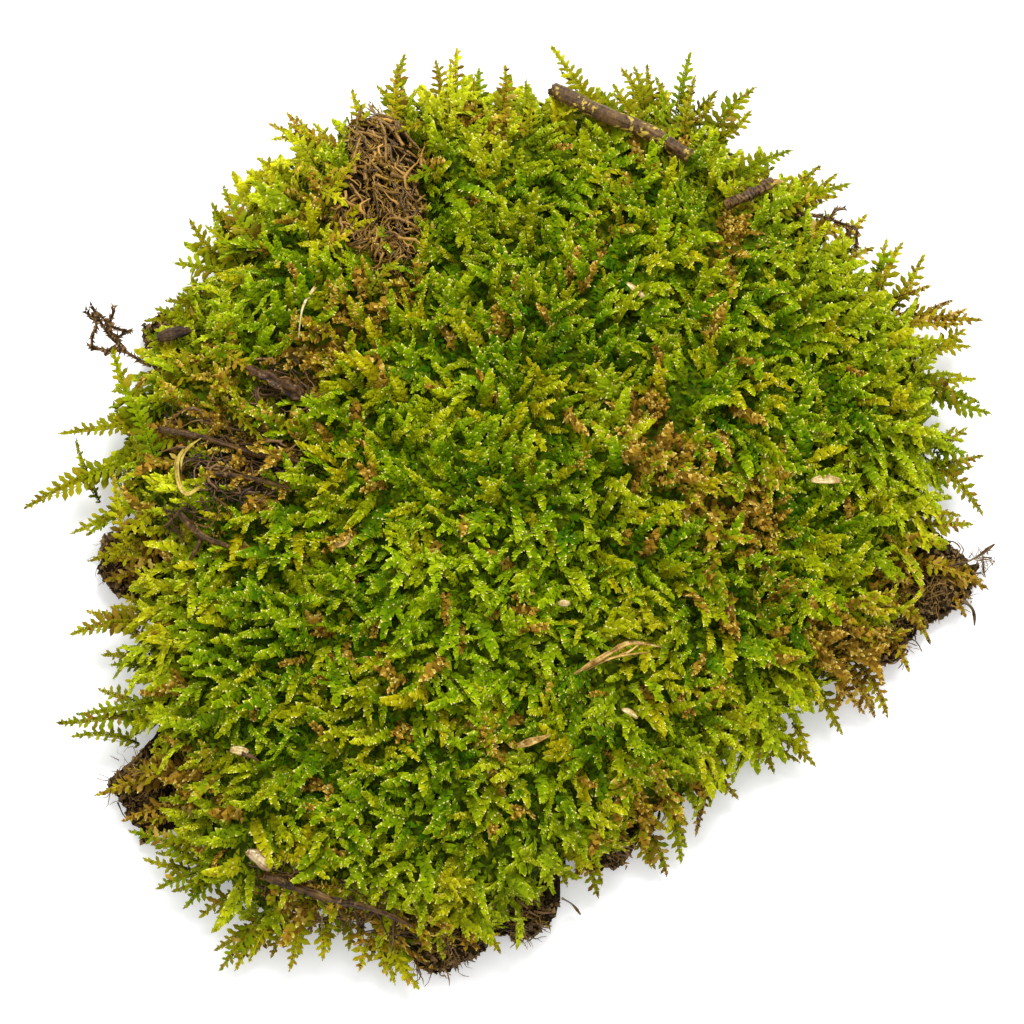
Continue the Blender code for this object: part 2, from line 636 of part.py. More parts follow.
def make_tangle(tree, finishes):
    """The bared old stems: a thin matted pad that follows the hollow, with coarse stems grown into it."""
    outline = smooth_route([resting(tree, across, down, 0.0) for across, down in TANGLE_EDGE], 2, closed=True)
    middle = resting(tree, *TANGLE_MIDDLE, 0.0)

    def ring_at(share, thick):
        ring = []
        for point in outline:
            spot = middle.lerp(point, share)
            base = surface_under(tree, spot, TANGLE_CLEARANCE) + GAP
            rough = noise.noise(spot * 420) * 0.5 * MM
            ring.append(Vector((spot.x, spot.y, base + (thick + rough if thick else 0))))
        return ring

    top = Vector((middle.x, middle.y, surface_under(tree, middle, TANGLE_CLEARANCE) + GAP + TANGLE_DEPTH))
    shares = (0.35, 0.7, 0.9)
    rings = [top]
    rings += [ring_at(share, TANGLE_DEPTH * (1.15 - share ** 2)) for share in shares]
    rings += [ring_at(share, 0) for share in (1.0, *reversed(shares))]
    bm = bmesh.new()
    add_rings(bm, rings)
    pad = add_solid("root_tangle", bm, "dead_stems", finishes)
    over = tree_of([pad])
    for pixels in TANGLE_STEMS:
        points = [resting(tree, across, down, 0.0).lerp(middle, 0.15) for across, down in pixels]
        route = smooth_route(points, 2)
        for point in route:
            point.z = max(point.z, surface_under(over, point, 0.0)) + TANGLE_STEM * 0.3
        bm = bmesh.new()
        add_tube(bm, route, tapered(TANGLE_STEM, len(route), 0.7), 5)
        join_shape(pad, add_solid("stem", bm, "dead_stems", finishes))


def make_twigs(tree, finishes):
    """Stiff twigs: each keeps its own slight bends and is lifted until nothing touches it."""
    for name, (pixels, radii, knuckle) in TWIGS.items():
        thick = max(radii) * MM
        ends = [resting(tree, *pixels[0], thick), resting(tree, *pixels[-1], thick)]
        points = []
        for i, (across, down) in enumerate(pixels):
            height = ends[0].z + (ends[1].z - ends[0].z) * i / (len(pixels) - 1)
            points.append(place(across, down, height))
        route = smooth_route(points, 3)
        lift = max(surface_under(tree, point, thick + GAP) + thick + GAP - point.z for point in route)
        last = len(route) - 1
        sizes = []
        for i, point in enumerate(route):
            point.z += lift
            point.y -= lift / math.tan(VIEW_ELEVATION)
            share = i / last * (len(radii) - 1)
            k = min(int(share), len(radii) - 2)
            sizes.append((radii[k] + (radii[k + 1] - radii[k]) * (share - k)) * MM)
        sizes[round(knuckle * last)] *= 1.2
        bm = bmesh.new()
        add_tube(bm, route, sizes, 8, 0.8)
        add_solid(name, bm, "bark", finishes)


def make_chips(tree, finishes):
    """Flat splinters, flakes, husks and the seed, lying on the moss."""
    for name, (first_pixel, second_pixel, width, thickness, finish) in CHIPS.items():
        radius = width * MM / 2
        first = resting(tree, *first_pixel, radius)
        second = resting(tree, *second_pixel, radius)
        steps = [first.lerp(second, k / 6) for k in range(7)]
        lift = max(surface_under(tree, point, radius) + GAP + thickness * MM / 2 - point.z for point in steps)
        first.z += lift
        second.z += lift
        along = (second - first).normalized()
        side = along.cross(Vector((0, 0, 1))).normalized()
        up = side.cross(along)
        bm = bmesh.new()
        rings = []
        for t, share in ((0.0, 0.35), (0.15, 0.85), (0.5, 1.0), (0.85, 0.8), (1.0, 0.3)):
            ring = []
            for k in range(6):
                turn = math.pi * k / 3
                out = side * (math.cos(turn) * radius) + up * (math.sin(turn) * thickness * MM / 2)
                ring.append(bm.verts.new(first.lerp(second, t) + out * share))
            rings.append(ring)
        for lower, upper in zip(rings, rings[1:]):
            bridge(bm, lower, upper)
        bm.faces.new(rings[0])
        bm.faces.new(rings[-1])
        add_solid(name, bm, finish, finishes)


def main():
    clear_scene()
    finishes = make_finishes()
    ground = Ground()
    soil = make_soil(ground, finishes)
    mat = make_moss_mat(ground, finishes)
    tree = tree_of([mat, soil])
    make_tangle(tree, finishes)
    make_twigs(tree, finishes)
    make_strands(tree, finishes)
    make_sprigs(tree, finishes)
    make_chips(tree, finishes)


main()
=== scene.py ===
import json
import math
import random

import bmesh
import bpy
import numpy as np
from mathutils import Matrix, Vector, noise
from mathutils.bvhtree import BVHTree

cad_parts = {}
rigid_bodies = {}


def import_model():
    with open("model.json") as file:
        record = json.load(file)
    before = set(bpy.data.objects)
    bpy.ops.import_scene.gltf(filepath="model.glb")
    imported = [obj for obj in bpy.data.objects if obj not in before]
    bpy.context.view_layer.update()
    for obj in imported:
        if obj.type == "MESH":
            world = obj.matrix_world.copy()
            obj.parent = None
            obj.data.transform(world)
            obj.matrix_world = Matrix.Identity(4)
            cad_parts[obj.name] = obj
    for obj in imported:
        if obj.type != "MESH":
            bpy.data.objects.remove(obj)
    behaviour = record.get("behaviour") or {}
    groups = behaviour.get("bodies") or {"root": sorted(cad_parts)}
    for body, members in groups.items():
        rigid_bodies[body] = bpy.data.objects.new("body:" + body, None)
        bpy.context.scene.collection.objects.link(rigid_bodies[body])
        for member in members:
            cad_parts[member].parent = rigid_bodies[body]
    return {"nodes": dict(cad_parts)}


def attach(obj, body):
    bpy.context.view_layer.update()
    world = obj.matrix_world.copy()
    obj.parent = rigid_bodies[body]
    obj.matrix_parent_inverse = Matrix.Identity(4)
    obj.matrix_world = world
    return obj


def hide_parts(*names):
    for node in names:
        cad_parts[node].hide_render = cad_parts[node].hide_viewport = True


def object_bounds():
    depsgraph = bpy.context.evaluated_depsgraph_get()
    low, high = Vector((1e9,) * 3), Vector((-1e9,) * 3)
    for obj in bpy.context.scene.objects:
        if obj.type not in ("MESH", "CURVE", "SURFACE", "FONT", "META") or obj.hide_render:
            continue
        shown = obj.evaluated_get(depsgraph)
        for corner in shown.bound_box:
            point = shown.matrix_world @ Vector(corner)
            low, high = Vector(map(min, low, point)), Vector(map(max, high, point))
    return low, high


# The looks of a clump of feather moss: leafy fronds over the solid cushion, bared roots and stems,
# crumbly soil at the edges, two twigs and the litter that lies in it.

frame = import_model()
cadLow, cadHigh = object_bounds()
mm = 0.001
above = Vector((0, 0, 1))
noise.seed_set(4)                   # without it, the noise that frays and roughens differs each run
print("frame loaded")


# Places in the picture

photo = {
    "pixel": 0.15 * mm,             # length of one pixel at the moss's edge
    "originAt": (507.5, 521.0),     # the pixel of the clump's own origin
    "elevation": 78.0,              # degrees that the camera looks down
    "side": 1024,
    "distance": 1.0,
    "focusHeight": 8 * mm,
}


def spot(across, down, height=0.0):
    rise = math.radians(photo["elevation"])
    x = (across - photo["originAt"][0]) * photo["pixel"]
    y = (photo["originAt"][1] - down) * photo["pixel"] / math.sin(rise) - height / math.tan(rise)
    return Vector((x, y, height))


def pixelOf(point):
    rise = math.radians(photo["elevation"])
    across = point[0] / photo["pixel"] + photo["originAt"][0]
    down = photo["originAt"][1] - (point[1] + point[2] / math.tan(rise)) * math.sin(rise) / photo["pixel"]
    return across, down


# Node trees

def put(tree, kind, feeds=None, **settings):
    made = tree.nodes.new(kind)
    for key, value in settings.items():
        setattr(made, key, value)
    for key, value in (feeds or {}).items():
        socket = made.inputs[key] if isinstance(key, int) else openSocket(made.inputs, key)
        if isinstance(value, bpy.types.NodeSocket):
            tree.links.new(value, socket)
        else:
            socket.default_value = value
    return made


def openSocket(sockets, name=None):
    return next(socket for socket in sockets if socket.enabled and name in (None, socket.name))


def calc(tree, operation, first, second=0.0, third=0.0):
    return put(tree, "ShaderNodeMath", {0: first, 1: second, 2: third}, operation=operation).outputs[0]


def times(tree, value, *others):
    for other in others:
        value = calc(tree, "MULTIPLY", value, other)
    return value


def plus(tree, value, *others):
    for other in others:
        value = calc(tree, "ADD", value, other)
    return value


def spread(tree, value, low, high, toLow=0.0, toHigh=1.0):
    return put(tree, "ShaderNodeMapRange", {0: value, 1: low, 2: high, 3: toLow, 4: toHigh}).outputs[0]


def vectorCalc(tree, operation, first, second=(0, 0, 0)):
    made = put(tree, "ShaderNodeVectorMath", {0: first, 1: second}, operation=operation)
    return made.outputs["Value" if operation == "DOT_PRODUCT" else "Vector"]


def scaled(tree, vector, amount):
    return put(tree, "ShaderNodeVectorMath", {0: vector, 3: amount}, operation="SCALE").outputs["Vector"]


# A tree with a geometry going in and out, and its named inputs by kind.
def newTree(name, **inputs):
    tree = bpy.data.node_groups.new(name, "GeometryNodeTree")
    for way in ("INPUT", "OUTPUT"):
        tree.interface.new_socket("Geometry", in_out=way, socket_type="NodeSocketGeometry")
    for kind, labels in inputs.items():
        for label in labels.split(", "):
            tree.interface.new_socket(label, in_out="INPUT", socket_type="NodeSocket" + kind)
    return tree, put(tree, "NodeGroupInput").outputs, put(tree, "NodeGroupOutput").inputs[0]


def named(tree, name, kind="FLOAT"):
    return openSocket(put(tree, "GeometryNodeInputNamedAttribute", {"Name": name}, data_type=kind).outputs)


def anyValue(tree, low, high, seed, kind="FLOAT"):
    return openSocket(put(tree, "FunctionNodeRandomValue", {"Min": low, "Max": high, "Seed": seed},
                          data_type=kind).outputs)


def keep(tree, geometry, name, value, domain="INSTANCE"):
    return put(tree, "GeometryNodeStoreNamedAttribute",
               {"Geometry": geometry, "Name": name, "Value": value}, domain=domain,
               data_type="FLOAT").outputs[0]


def facing(tree, ahead, upward):
    return put(tree, "FunctionNodeAxesToRotation", {"Primary Axis": ahead, "Secondary Axis": upward},
               primary_axis="X", secondary_axis="Z").outputs[0]


def childrenOf(tree, collection):
    return put(tree, "GeometryNodeCollectionInfo",
               {"Collection": collection, "Separate Children": True, "Reset Children": True}).outputs[0]


# Points strewn over a mesh, no two nearer to each other than the spacing.
def strew(tree, give, share, where=True):
    return put(tree, "GeometryNodeDistributePointsOnFaces",
               {"Mesh": give["Geometry"], "Selection": where, "Distance Min": give["Spacing"],
                "Density Max": give["Density"], "Density Factor": share, "Seed": give["Seed"]},
               distribute_method="POISSON").outputs


def setOut(tree, points, thing, turned, size, where=True, kind=None):
    feeds = {"Points": points, "Selection": where, "Instance": thing, "Rotation": turned, "Scale": size}
    if kind is not None:
        feeds.update({"Pick Instance": True, "Instance Index": kind})
    return put(tree, "GeometryNodeInstanceOnPoints", feeds).outputs[0]


def tube(tree, curve, sides, radius, girth):
    profile = put(tree, "GeometryNodeCurvePrimitiveCircle", {"Resolution": sides, "Radius": radius})
    return put(tree, "GeometryNodeCurveToMesh",
               {"Curve": curve, "Profile Curve": profile.outputs[0], "Scale": girth,
                "Fill Caps": True}).outputs[0]


# Every tree ends like this: its instances are made real and get the finish.
def endTree(tree, out, geometry, finish):
    plain = put(tree, "GeometryNodeRealizeInstances", {0: geometry}).outputs[0]
    tree.links.new(put(tree, "GeometryNodeSetMaterial", {0: plain, "Material": finish}).outputs[0], out)


# Runs a tree on a mesh and hands back the plain mesh that it makes.
def runTree(tree, mesh, values):
    holder = bpy.data.objects.new("holder", mesh)
    bpy.context.scene.collection.objects.link(holder)
    modifier = holder.modifiers.new(tree.name, "NODES")
    modifier.node_group = tree
    for item in tree.interface.items_tree:
        if item.item_type == "SOCKET" and item.in_out == "INPUT" and item.name in values:
            modifier[item.identifier] = values[item.name]
    bpy.context.view_layer.update()
    made = bpy.data.meshes.new_from_object(holder.evaluated_get(bpy.context.evaluated_depsgraph_get()))
    bpy.data.objects.remove(holder, do_unlink=True)
    return made


# Meshes

def setFloats(mesh, name, values):
    mesh.attributes.new(name, "FLOAT", "POINT").data.foreach_set("value", values)


def setVectors(mesh, name, values):
    flat = [value for entry in values for value in entry]
    mesh.attributes.new(name, "FLOAT_VECTOR", "POINT").data.foreach_set("vector", flat)


def meshFrom(bm, name):
    mesh = bpy.data.meshes.new(name)
    bm.to_mesh(mesh)
    bm.free()
    return mesh


def openCollection(name):
    collection = bpy.data.collections.new(name)
    bpy.context.scene.collection.children.link(collection)
    return collection


def dropCollection(collection):
    for thing in list(collection.objects):
        bpy.data.objects.remove(thing, do_unlink=True)
    bpy.data.collections.remove(collection)


def shares(count):
    return [k / (count - 1) for k in range(count)]


def trianglesOf(mesh):
    return sum(polygon.loop_total - 2 for polygon in mesh.polygons)


# Keeps every point inside the solid's own box. Near the top and the floor the points crowd together
# without ever lying in one plane.
squeeze = {"margin": 0.4 * mm, "top": 1.6 * mm, "floor": 0.1 * mm, "low": 0.6 * mm}


def holdInside(mesh, onFloor=False):
    places = np.empty(len(mesh.vertices) * 3, np.float64)
    mesh.vertices.foreach_get("co", places)
    places = places.reshape(-1, 3)
    heights = places[:, 2]
    knee, room = cadHigh[2] - squeeze["top"], squeeze["top"] + squeeze["margin"]
    tall = heights > knee
    heights[tall] = knee + room * (1 - np.exp((knee - heights[tall]) / room))
    if not onFloor:
        below = heights < squeeze["low"]
        room = squeeze["low"] - squeeze["floor"]
        heights[below] = squeeze["floor"] + room * np.exp((heights[below] - squeeze["low"]) / room)
    low, high = np.array(cadLow) - squeeze["margin"], np.array(cadHigh) + squeeze["margin"]
    low[2] = 0
    mesh.vertices.foreach_set("co", np.clip(places, low, high).ravel())
    mesh.update()


# Gives each leaf its own small cell of the map that a bake fills.
def spreadBakeMap(mesh):
    layer = mesh.uv_layers.get("OFBake") or mesh.uv_layers.new(name="OFBake")
    starts = np.empty(len(mesh.polygons), np.int32)
    totals = np.empty(len(mesh.polygons), np.int32)
    mesh.polygons.foreach_get("loop_start", starts)
    mesh.polygons.foreach_get("loop_total", totals)
    corners = np.empty(len(mesh.loops), np.int32)
    mesh.loops.foreach_get("vertex_index", corners)
    lowest = np.minimum.reduceat(corners, starts)
    highest = np.maximum.accumulate(np.maximum.reduceat(corners, starts))
    fresh = np.r_[True, lowest[1:] > highest[:-1]]
    cell = np.cumsum(fresh) - 1
    side = int(math.ceil(math.sqrt(cell[-1] + 1)))
    uv = np.empty(len(mesh.loops) * 2, np.float32)
    layer.data.foreach_get("uv", uv)
    uv = uv.reshape(-1, 2)
    cellOf = np.repeat(cell, totals)
    place = np.arange(len(corners)) - np.repeat(starts, totals)
    square = np.array([(0.1, 0.1), (0.9, 0.1), (0.9, 0.9), (0.1, 0.9)], np.float32)
    blank = ~uv.any(axis=1)
    uv[blank] = square[place[blank] % 4]
    uv[:, 0] = (uv[:, 0] + cellOf % side) / side
    uv[:, 1] = (uv[:, 1] + cellOf // side) / side
    layer.data.foreach_set("uv", uv.ravel())


def addPiece(name, mesh, replaced=(), smooth=True):
    piece = bpy.data.objects.new(name, mesh)
    bpy.context.scene.collection.objects.link(piece)
    mesh.polygons.foreach_set("use_smooth", [smooth] * len(mesh.polygons))
    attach(piece, "root")
    if replaced:
        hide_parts(*replaced)


# A piece made by a tree. The mapped ones are leafy and need the bake's map.
def addGrown(name, mesh, replaced=(), smooth=False, mapped=True):
    holdInside(mesh)
    if mapped:
        spreadBakeMap(mesh)
    print(name, trianglesOf(mesh), "triangles")
    addPiece(name, mesh, replaced, smooth)


# Materials

def newMaterial(name):
    material = bpy.data.materials.new(name)
    material.use_nodes = True
    tree = material.node_tree
    return material, tree, tree.nodes["Principled BSDF"], tree.nodes["Material Output"]


def blendColour(tree, factor, first, second, way="MIX"):
    made = put(tree, "ShaderNodeMix", data_type="RGBA", blend_type=way, clamp_factor=True)
    for index, value in ((0, factor), (6, first), (7, second)):
        if isinstance(value, bpy.types.NodeSocket):
            tree.links.new(value, made.inputs[index])
        else:
            made.inputs[index].default_value = value if index == 0 else (*value, 1)
    return made.outputs[2]


def trait(tree, name):
    return put(tree, "ShaderNodeAttribute", attribute_name=name).outputs["Fac"]


def grain(tree, scale, detail):
    where = put(tree, "ShaderNodeTexCoord").outputs["Object"]
    return put(tree, "ShaderNodeTexNoise", {"Vector": where, "Scale": scale, "Detail": detail}).outputs[0]


def coat(tree, shader, colour, look):
    tree.links.new(colour, shader.inputs["Base Color"])
    shader.inputs["Roughness"].default_value = look["roughness"]
    shader.inputs["Specular IOR Level"].default_value = look["sheen"]


def roughen(tree, shader, height, strength, depth):
    bump = put(tree, "ShaderNodeBump", {"Height": height, "Strength": strength, "Distance": depth})
    tree.links.new(bump.outputs[0], shader.inputs["Normal"])


mossFinish = {
    "deep": (0.075, 0.260, 0.000),
    "green": (0.300, 0.500, 0.000),
    "olive": (0.600, 0.520, 0.003),
    "rust": (0.560, 0.380, 0.006),
    "fresh": (0.430, 0.700, 0.002),
    "lime": (0.860, 0.880, 0.020),
    "edgeOfLeaf": (0.900, 0.880, 0.010),
    # painted highlight: the colour of the glints painted at leaf tips
    "paintedGlint": (1.000, 0.930, 0.330),
    "oldStem": (0.120, 0.130, 0.002),
    "deadDark": (0.200, 0.090, 0.004),
    "deadTan": (0.600, 0.345, 0.026),
    "deadStraw": (0.860, 0.610, 0.110),
    "roughness": 0.55,
    "sheen": 0.05,                  # how strongly the leaves mirror what is round them
    "letThrough": 0.32,
    "strength": 0.75,               # how light the leaves are as a whole
    "shaded": 0.3,                  # and how light the painted shade makes those marked dim
    "mottle": 900,                  # how fine their blotches are
    "deepToGreen": (0.22, 0.50),    # the tints between which one colour passes into the next
    "greenToOlive": (0.50, 0.82),
    "rusting": (0.16, 0.44),        # how dead a leaf is when it turns rusty, and when it withers
    "withering": (0.42, 0.62),
    "glintFrom": (0.64, 0.74),        # how far out along a leaf its painted glint begins
    "glintLeaves": (0.74, 0.76),      # the leaves that have one are those with a lighter shade than this
}
mossPatches = (("bright", 0.7, "fresh"), ("deepness", 0.5, "deep"), ("yellow", 0.8, "lime"))


def makeMossMaterial():
    look = mossFinish
    material, tree, shader, out = newMaterial("mossLeaf")
    tint, shade, along = trait(tree, "tint"), trait(tree, "leafShade"), trait(tree, "along")
    mottle = grain(tree, look["mottle"], 2)
    colour = blendColour(tree, spread(tree, tint, *look["deepToGreen"]), look["deep"], look["green"])
    colour = blendColour(tree, spread(tree, tint, *look["greenToOlive"]), colour, look["olive"])
    for name, share, other in mossPatches:
        colour = blendColour(tree, times(tree, trait(tree, name), share), colour, look[other])
    youth = times(tree, spread(tree, along, 0.1, 0.9), trait(tree, "rim"),
                  spread(tree, shade, 0.2, 0.8, 0.2, 1.0), 0.55)
    colour = blendColour(tree, youth, colour, look["edgeOfLeaf"])
    withered = blendColour(tree, spread(tree, shade, 0.0, 0.5), look["deadDark"], look["deadTan"])
    withered = blendColour(tree, spread(tree, shade, 0.7, 1.0), withered, look["deadStraw"])
    age = plus(tree, trait(tree, "dead"), times(tree, calc(tree, "SUBTRACT", mottle, 0.5), 0.5),
               times(tree, trait(tree, "whim"), 0.3))
    colour = blendColour(tree, times(tree, spread(tree, age, *look["rusting"]), 0.55), colour, look["rust"])
    colour = blendColour(tree, spread(tree, age, *look["withering"]), colour, withered)
    colour = blendColour(tree, trait(tree, "stem"), colour, look["oldStem"])
    # Leaves are darker near the foot of their frond, partly as older leaves and partly as painted shade deep in
    # the moss, darker where dim paints shade over a shoot, and darker in their own blotches.
    light = times(tree, spread(tree, along, 0.0, 0.6, 0.60, 1.0), spread(tree, shade, 0.0, 1.0, 0.70, 1.25),
                  spread(tree, mottle, 0.3, 0.7, 0.8, 1.2),
                  spread(tree, trait(tree, "dim"), 0.0, 1.0, look["strength"], look["shaded"]),
                  spread(tree, trait(tree, "yellow"), 0.3, 1.0, 1.0, 1.3))
    lit = put(tree, "ShaderNodeCombineColor", {0: light, 1: light, 2: light}).outputs[0]
    colour = blendColour(tree, 1.0, colour, lit, "MULTIPLY")
    # Painted highlight: a pale glint painted near the tips of a few leaves, in place of light reflected by
    # their wet tips.
    glint = times(tree, spread(tree, trait(tree, "tipped"), *look["glintFrom"]),
                spread(tree, shade, *look["glintLeaves"]), spread(tree, along, 0.1, 0.3))
    colour = blendColour(tree, glint, colour, look["paintedGlint"])
    coat(tree, shader, colour, look)
    glow = put(tree, "ShaderNodeBsdfTranslucent", {"Color": colour})
    both = put(tree, "ShaderNodeMixShader", {0: look["letThrough"], 1: shader.outputs[0], 2: glow.outputs[0]})
    tree.links.new(both.outputs[0], out.inputs["Surface"])
    return material


# Everything brown shares one recipe, from dark to light by grain and by strand. Strand says how far one
# strand or crumb differs from the next.
brownPlain = {"scale": 1100, "bump": 0.8, "roughness": 0.95, "sheen": 0.1, "strand": 0.8}
brownFinishes = {
    # mossBed: partly the old moss's own colour, partly painted shade that shows in the gaps between the fronds
    "mossBed": {"dark": (0.020, 0.034, 0.000), "light": (0.160, 0.230, 0.001), "scale": 900, "strand": 0.4},
    "soil": {"dark": (0.007, 0.004, 0.001), "light": (0.085, 0.045, 0.012), "scale": 1300, "bump": 1.0,
             "strand": 0.4},
    "crumb": {"dark": (0.010, 0.005, 0.001), "light": (0.240, 0.150, 0.052), "scale": 900, "bump": 0.6,
              "roughness": 0.6, "strand": 0.9},
    "oldStem": {"dark": (0.010, 0.004, 0.000), "light": (0.540, 0.290, 0.050), "scale": 1300,
                "roughness": 0.24, "sheen": 0.3, "strand": 1.0},
    "darkStem": {"dark": (0.010, 0.004, 0.001), "light": (0.230, 0.120, 0.035), "roughness": 0.35,
                 "sheen": 0.3},
    "deadSprig": {"dark": (0.018, 0.008, 0.002), "light": (0.300, 0.175, 0.060), "bump": 0.6,
                  "roughness": 0.6},
    "rootlet": {"dark": (0.020, 0.009, 0.001), "light": (0.330, 0.190, 0.045), "bump": 0.5,
                "roughness": 0.5, "strand": 0.9},
}
brownBumpDepth = 0.15 * mm


def makeBrownMaterial(name, look):
    material, tree, shader, _ = newMaterial(name)
    mixed = plus(tree, times(tree, grain(tree, look["scale"], 4), 0.75),
                 times(tree, trait(tree, "leafShade"), look["strand"]))
    colour = blendColour(tree, spread(tree, mixed, 0.3, 0.36 + look["strand"]), look["dark"], look["light"])
    coat(tree, shader, colour, look)
    roughen(tree, shader, grain(tree, look["scale"] * 3, 2), look["bump"], brownBumpDepth)
    return material


# Woods, straws and husks. Their streaks and wrinkles follow the piece by the attribute wrap, which gives
# the way along it and across it, and rim tells the edge of a flat one.
woodPlain = {
    "rim": 0.0,                     # how much darker its edge is
    "ringed": 0.0,                  # how much of its pattern runs round it instead of along it
    "speckle": 0.0,                 # how many more spots it has
    "streak": (3000, (0.12, 1, 1)),
    "wrinkle": (2600, (1.1, 0.5, 0.5)),
    "blotch": 420,
    "spot": 1500,
    "spotGroup": 300,
    "roughness": 0.40,
    "sheen": 0.22,
    "bumpDepth": 0.5 * mm,
}
woodFinishes = {
    "barkLong": {"dark": (0.024, 0.011, 0.004), "light": (0.170, 0.092, 0.026), "spots": (0.560, 0.400, 0.050),
                 "spotted": 0.9, "ringed": 0.25, "speckle": 0.05},
    "barkShort": {"dark": (0.008, 0.003, 0.001), "light": (0.200, 0.104, 0.028), "spots": (0.400, 0.260, 0.060),
                  "spotted": 0.5, "ringed": 0.9},
    "barkChip": {"dark": (0.007, 0.003, 0.001), "light": (0.080, 0.042, 0.014), "spots": (0.200, 0.110, 0.030),
                 "spotted": 0.4},
    "woodChip": {"dark": (0.008, 0.003, 0.001), "light": (0.140, 0.064, 0.016), "spots": (0.300, 0.170, 0.045),
                 "spotted": 0.6},
    "oldWood": {"dark": (0.014, 0.005, 0.001), "light": (0.165, 0.086, 0.019), "spots": (0.360, 0.210, 0.055),
                "spotted": 0.5},
    "paleWood": {"dark": (0.200, 0.100, 0.025), "light": (0.800, 0.640, 0.360), "spots": (0.920, 0.840, 0.620),
                 "spotted": 0.8, "rim": 0.9},
    "straw": {"dark": (0.150, 0.062, 0.004), "light": (0.700, 0.450, 0.110), "spots": (0.820, 0.640, 0.260),
              "spotted": 0.5, "rim": 0.5},
    "olive": {"dark": (0.200, 0.130, 0.006), "light": (0.640, 0.480, 0.080), "spots": (0.700, 0.560, 0.160),
              "spotted": 0.5, "rim": 0.4},
    "husk": {"dark": (0.340, 0.190, 0.036), "light": (0.920, 0.820, 0.420), "spots": (0.960, 0.920, 0.660),
             "spotted": 0.7, "rim": 0.9},
}


def wrapGrain(tree, scale, stretch):
    where = put(tree, "ShaderNodeAttribute", attribute_name="wrap").outputs["Vector"]
    where = put(tree, "ShaderNodeMapping", {"Vector": where, "Scale": stretch}).outputs[0]
    return put(tree, "ShaderNodeTexNoise", {"Vector": where, "Scale": scale, "Detail": 3}).outputs[0]


def makeWoodMaterial(name, look):
    material, tree, shader, _ = newMaterial(name)
    ringed, more = look["ringed"], look["speckle"]
    mixed = plus(tree, times(tree, wrapGrain(tree, *look["streak"]), 0.5 * (1 - ringed)),
                 times(tree, wrapGrain(tree, *look["wrinkle"]), 0.25 + 0.5 * ringed),
                 times(tree, grain(tree, look["blotch"], 2), 0.25))
    colour = blendColour(tree, spread(tree, mixed, 0.40, 0.62), look["dark"], look["light"])
    spots = times(tree, spread(tree, grain(tree, look["spot"], 2), 0.58 - more, 0.64 - more),
                  spread(tree, grain(tree, look["spotGroup"], 1), 0.50 - more, 0.56 - more), look["spotted"])
    colour = blendColour(tree, spots, colour, look["spots"])
    brink = times(tree, spread(tree, trait(tree, "rim"), 0.72, 0.95), look["rim"])
    colour = blendColour(tree, brink, colour, look["dark"])
    colour = blendColour(tree, trait(tree, "cut"), colour, look["spots"])
    coat(tree, shader, colour, look)
    roughen(tree, shader, mixed, 1.0, look["bumpDepth"])
    return material


mossLeaf = makeMossMaterial()
brown = {name: makeBrownMaterial(name, {**brownPlain, **look}) for name, look in brownFinishes.items()}
wood = {name: makeWoodMaterial(name, {**woodPlain, **look}) for name, look in woodFinishes.items()}
print("materials made")


# The floor, the light and the camera

studio = {
    "floorSide": 4.0,
    "floorColour": (0.92, 0.92, 0.92),
    "floorGlow": 0.26,
    "floorDrop": 0.05 * mm,         # how far it lies below the clump
    "sky": 0.92,
    "softbox": {"at": (0.14, 0.66, 0.86), "side": 0.50, "power": 11.0},
}


def makeStudio():
    world = bpy.data.worlds.new("studio")
    world.use_nodes = True
    world.node_tree.nodes["Background"].inputs["Color"].default_value = (1, 1, 1, 1)
    world.node_tree.nodes["Background"].inputs["Strength"].default_value = studio["sky"]
    bpy.context.scene.world = world
    bpy.context.scene.view_settings.view_transform = "Standard"
    half = studio["floorSide"] / 2
    mesh = bpy.data.meshes.new("floor")
    mesh.from_pydata([(-half, -half, 0), (half, -half, 0), (half, half, 0), (-half, half, 0)], [],
                     [(0, 1, 2, 3)])
    material, _, shader, _ = newMaterial("floor")
    for socket, value in (("Base Color", (*studio["floorColour"], 1)), ("Roughness", 0.9),
                          ("Specular IOR Level", 0.1), ("Emission Color", (1, 1, 1, 1)),
                          ("Emission Strength", studio["floorGlow"])):
        shader.inputs[socket].default_value = value
    mesh.materials.append(material)
    floor = bpy.data.objects.new("floor", mesh)
    floor.location.z = -studio["floorDrop"]
    bpy.context.scene.collection.objects.link(floor)
    lamp = bpy.data.lights.new("softbox", "AREA")
    lamp.shape = "DISK"
    lamp.size, lamp.energy = studio["softbox"]["side"], studio["softbox"]["power"]
    light = bpy.data.objects.new("softbox", lamp)
    light.location = studio["softbox"]["at"]
    light.rotation_euler = (-light.location).to_track_quat("-Z", "Y").to_euler()
    bpy.context.scene.collection.objects.link(light)


def makeCamera():
    rise = math.radians(photo["elevation"])
    camera = bpy.data.objects.new("camera", bpy.data.cameras.new("camera"))
    aim = spot(photo["side"] / 2, photo["side"] / 2, photo["focusHeight"])
    camera.location = aim + Vector((0, -math.cos(rise), math.sin(rise))) * photo["distance"]
    camera.rotation_euler = (math.pi / 2 - rise, 0, 0)
    shown = photo["pixel"] * photo["side"]
    camera.data.lens = camera.data.sensor_width * photo["distance"] / shown
    bpy.context.scene.collection.objects.link(camera)
    bpy.context.scene.camera = camera


makeStudio()
makeCamera()
print("floor, light and camera made")


# What the clump is like from place to place. Each patch is a pixel across and down, a radius in
# pixels, and a strength.

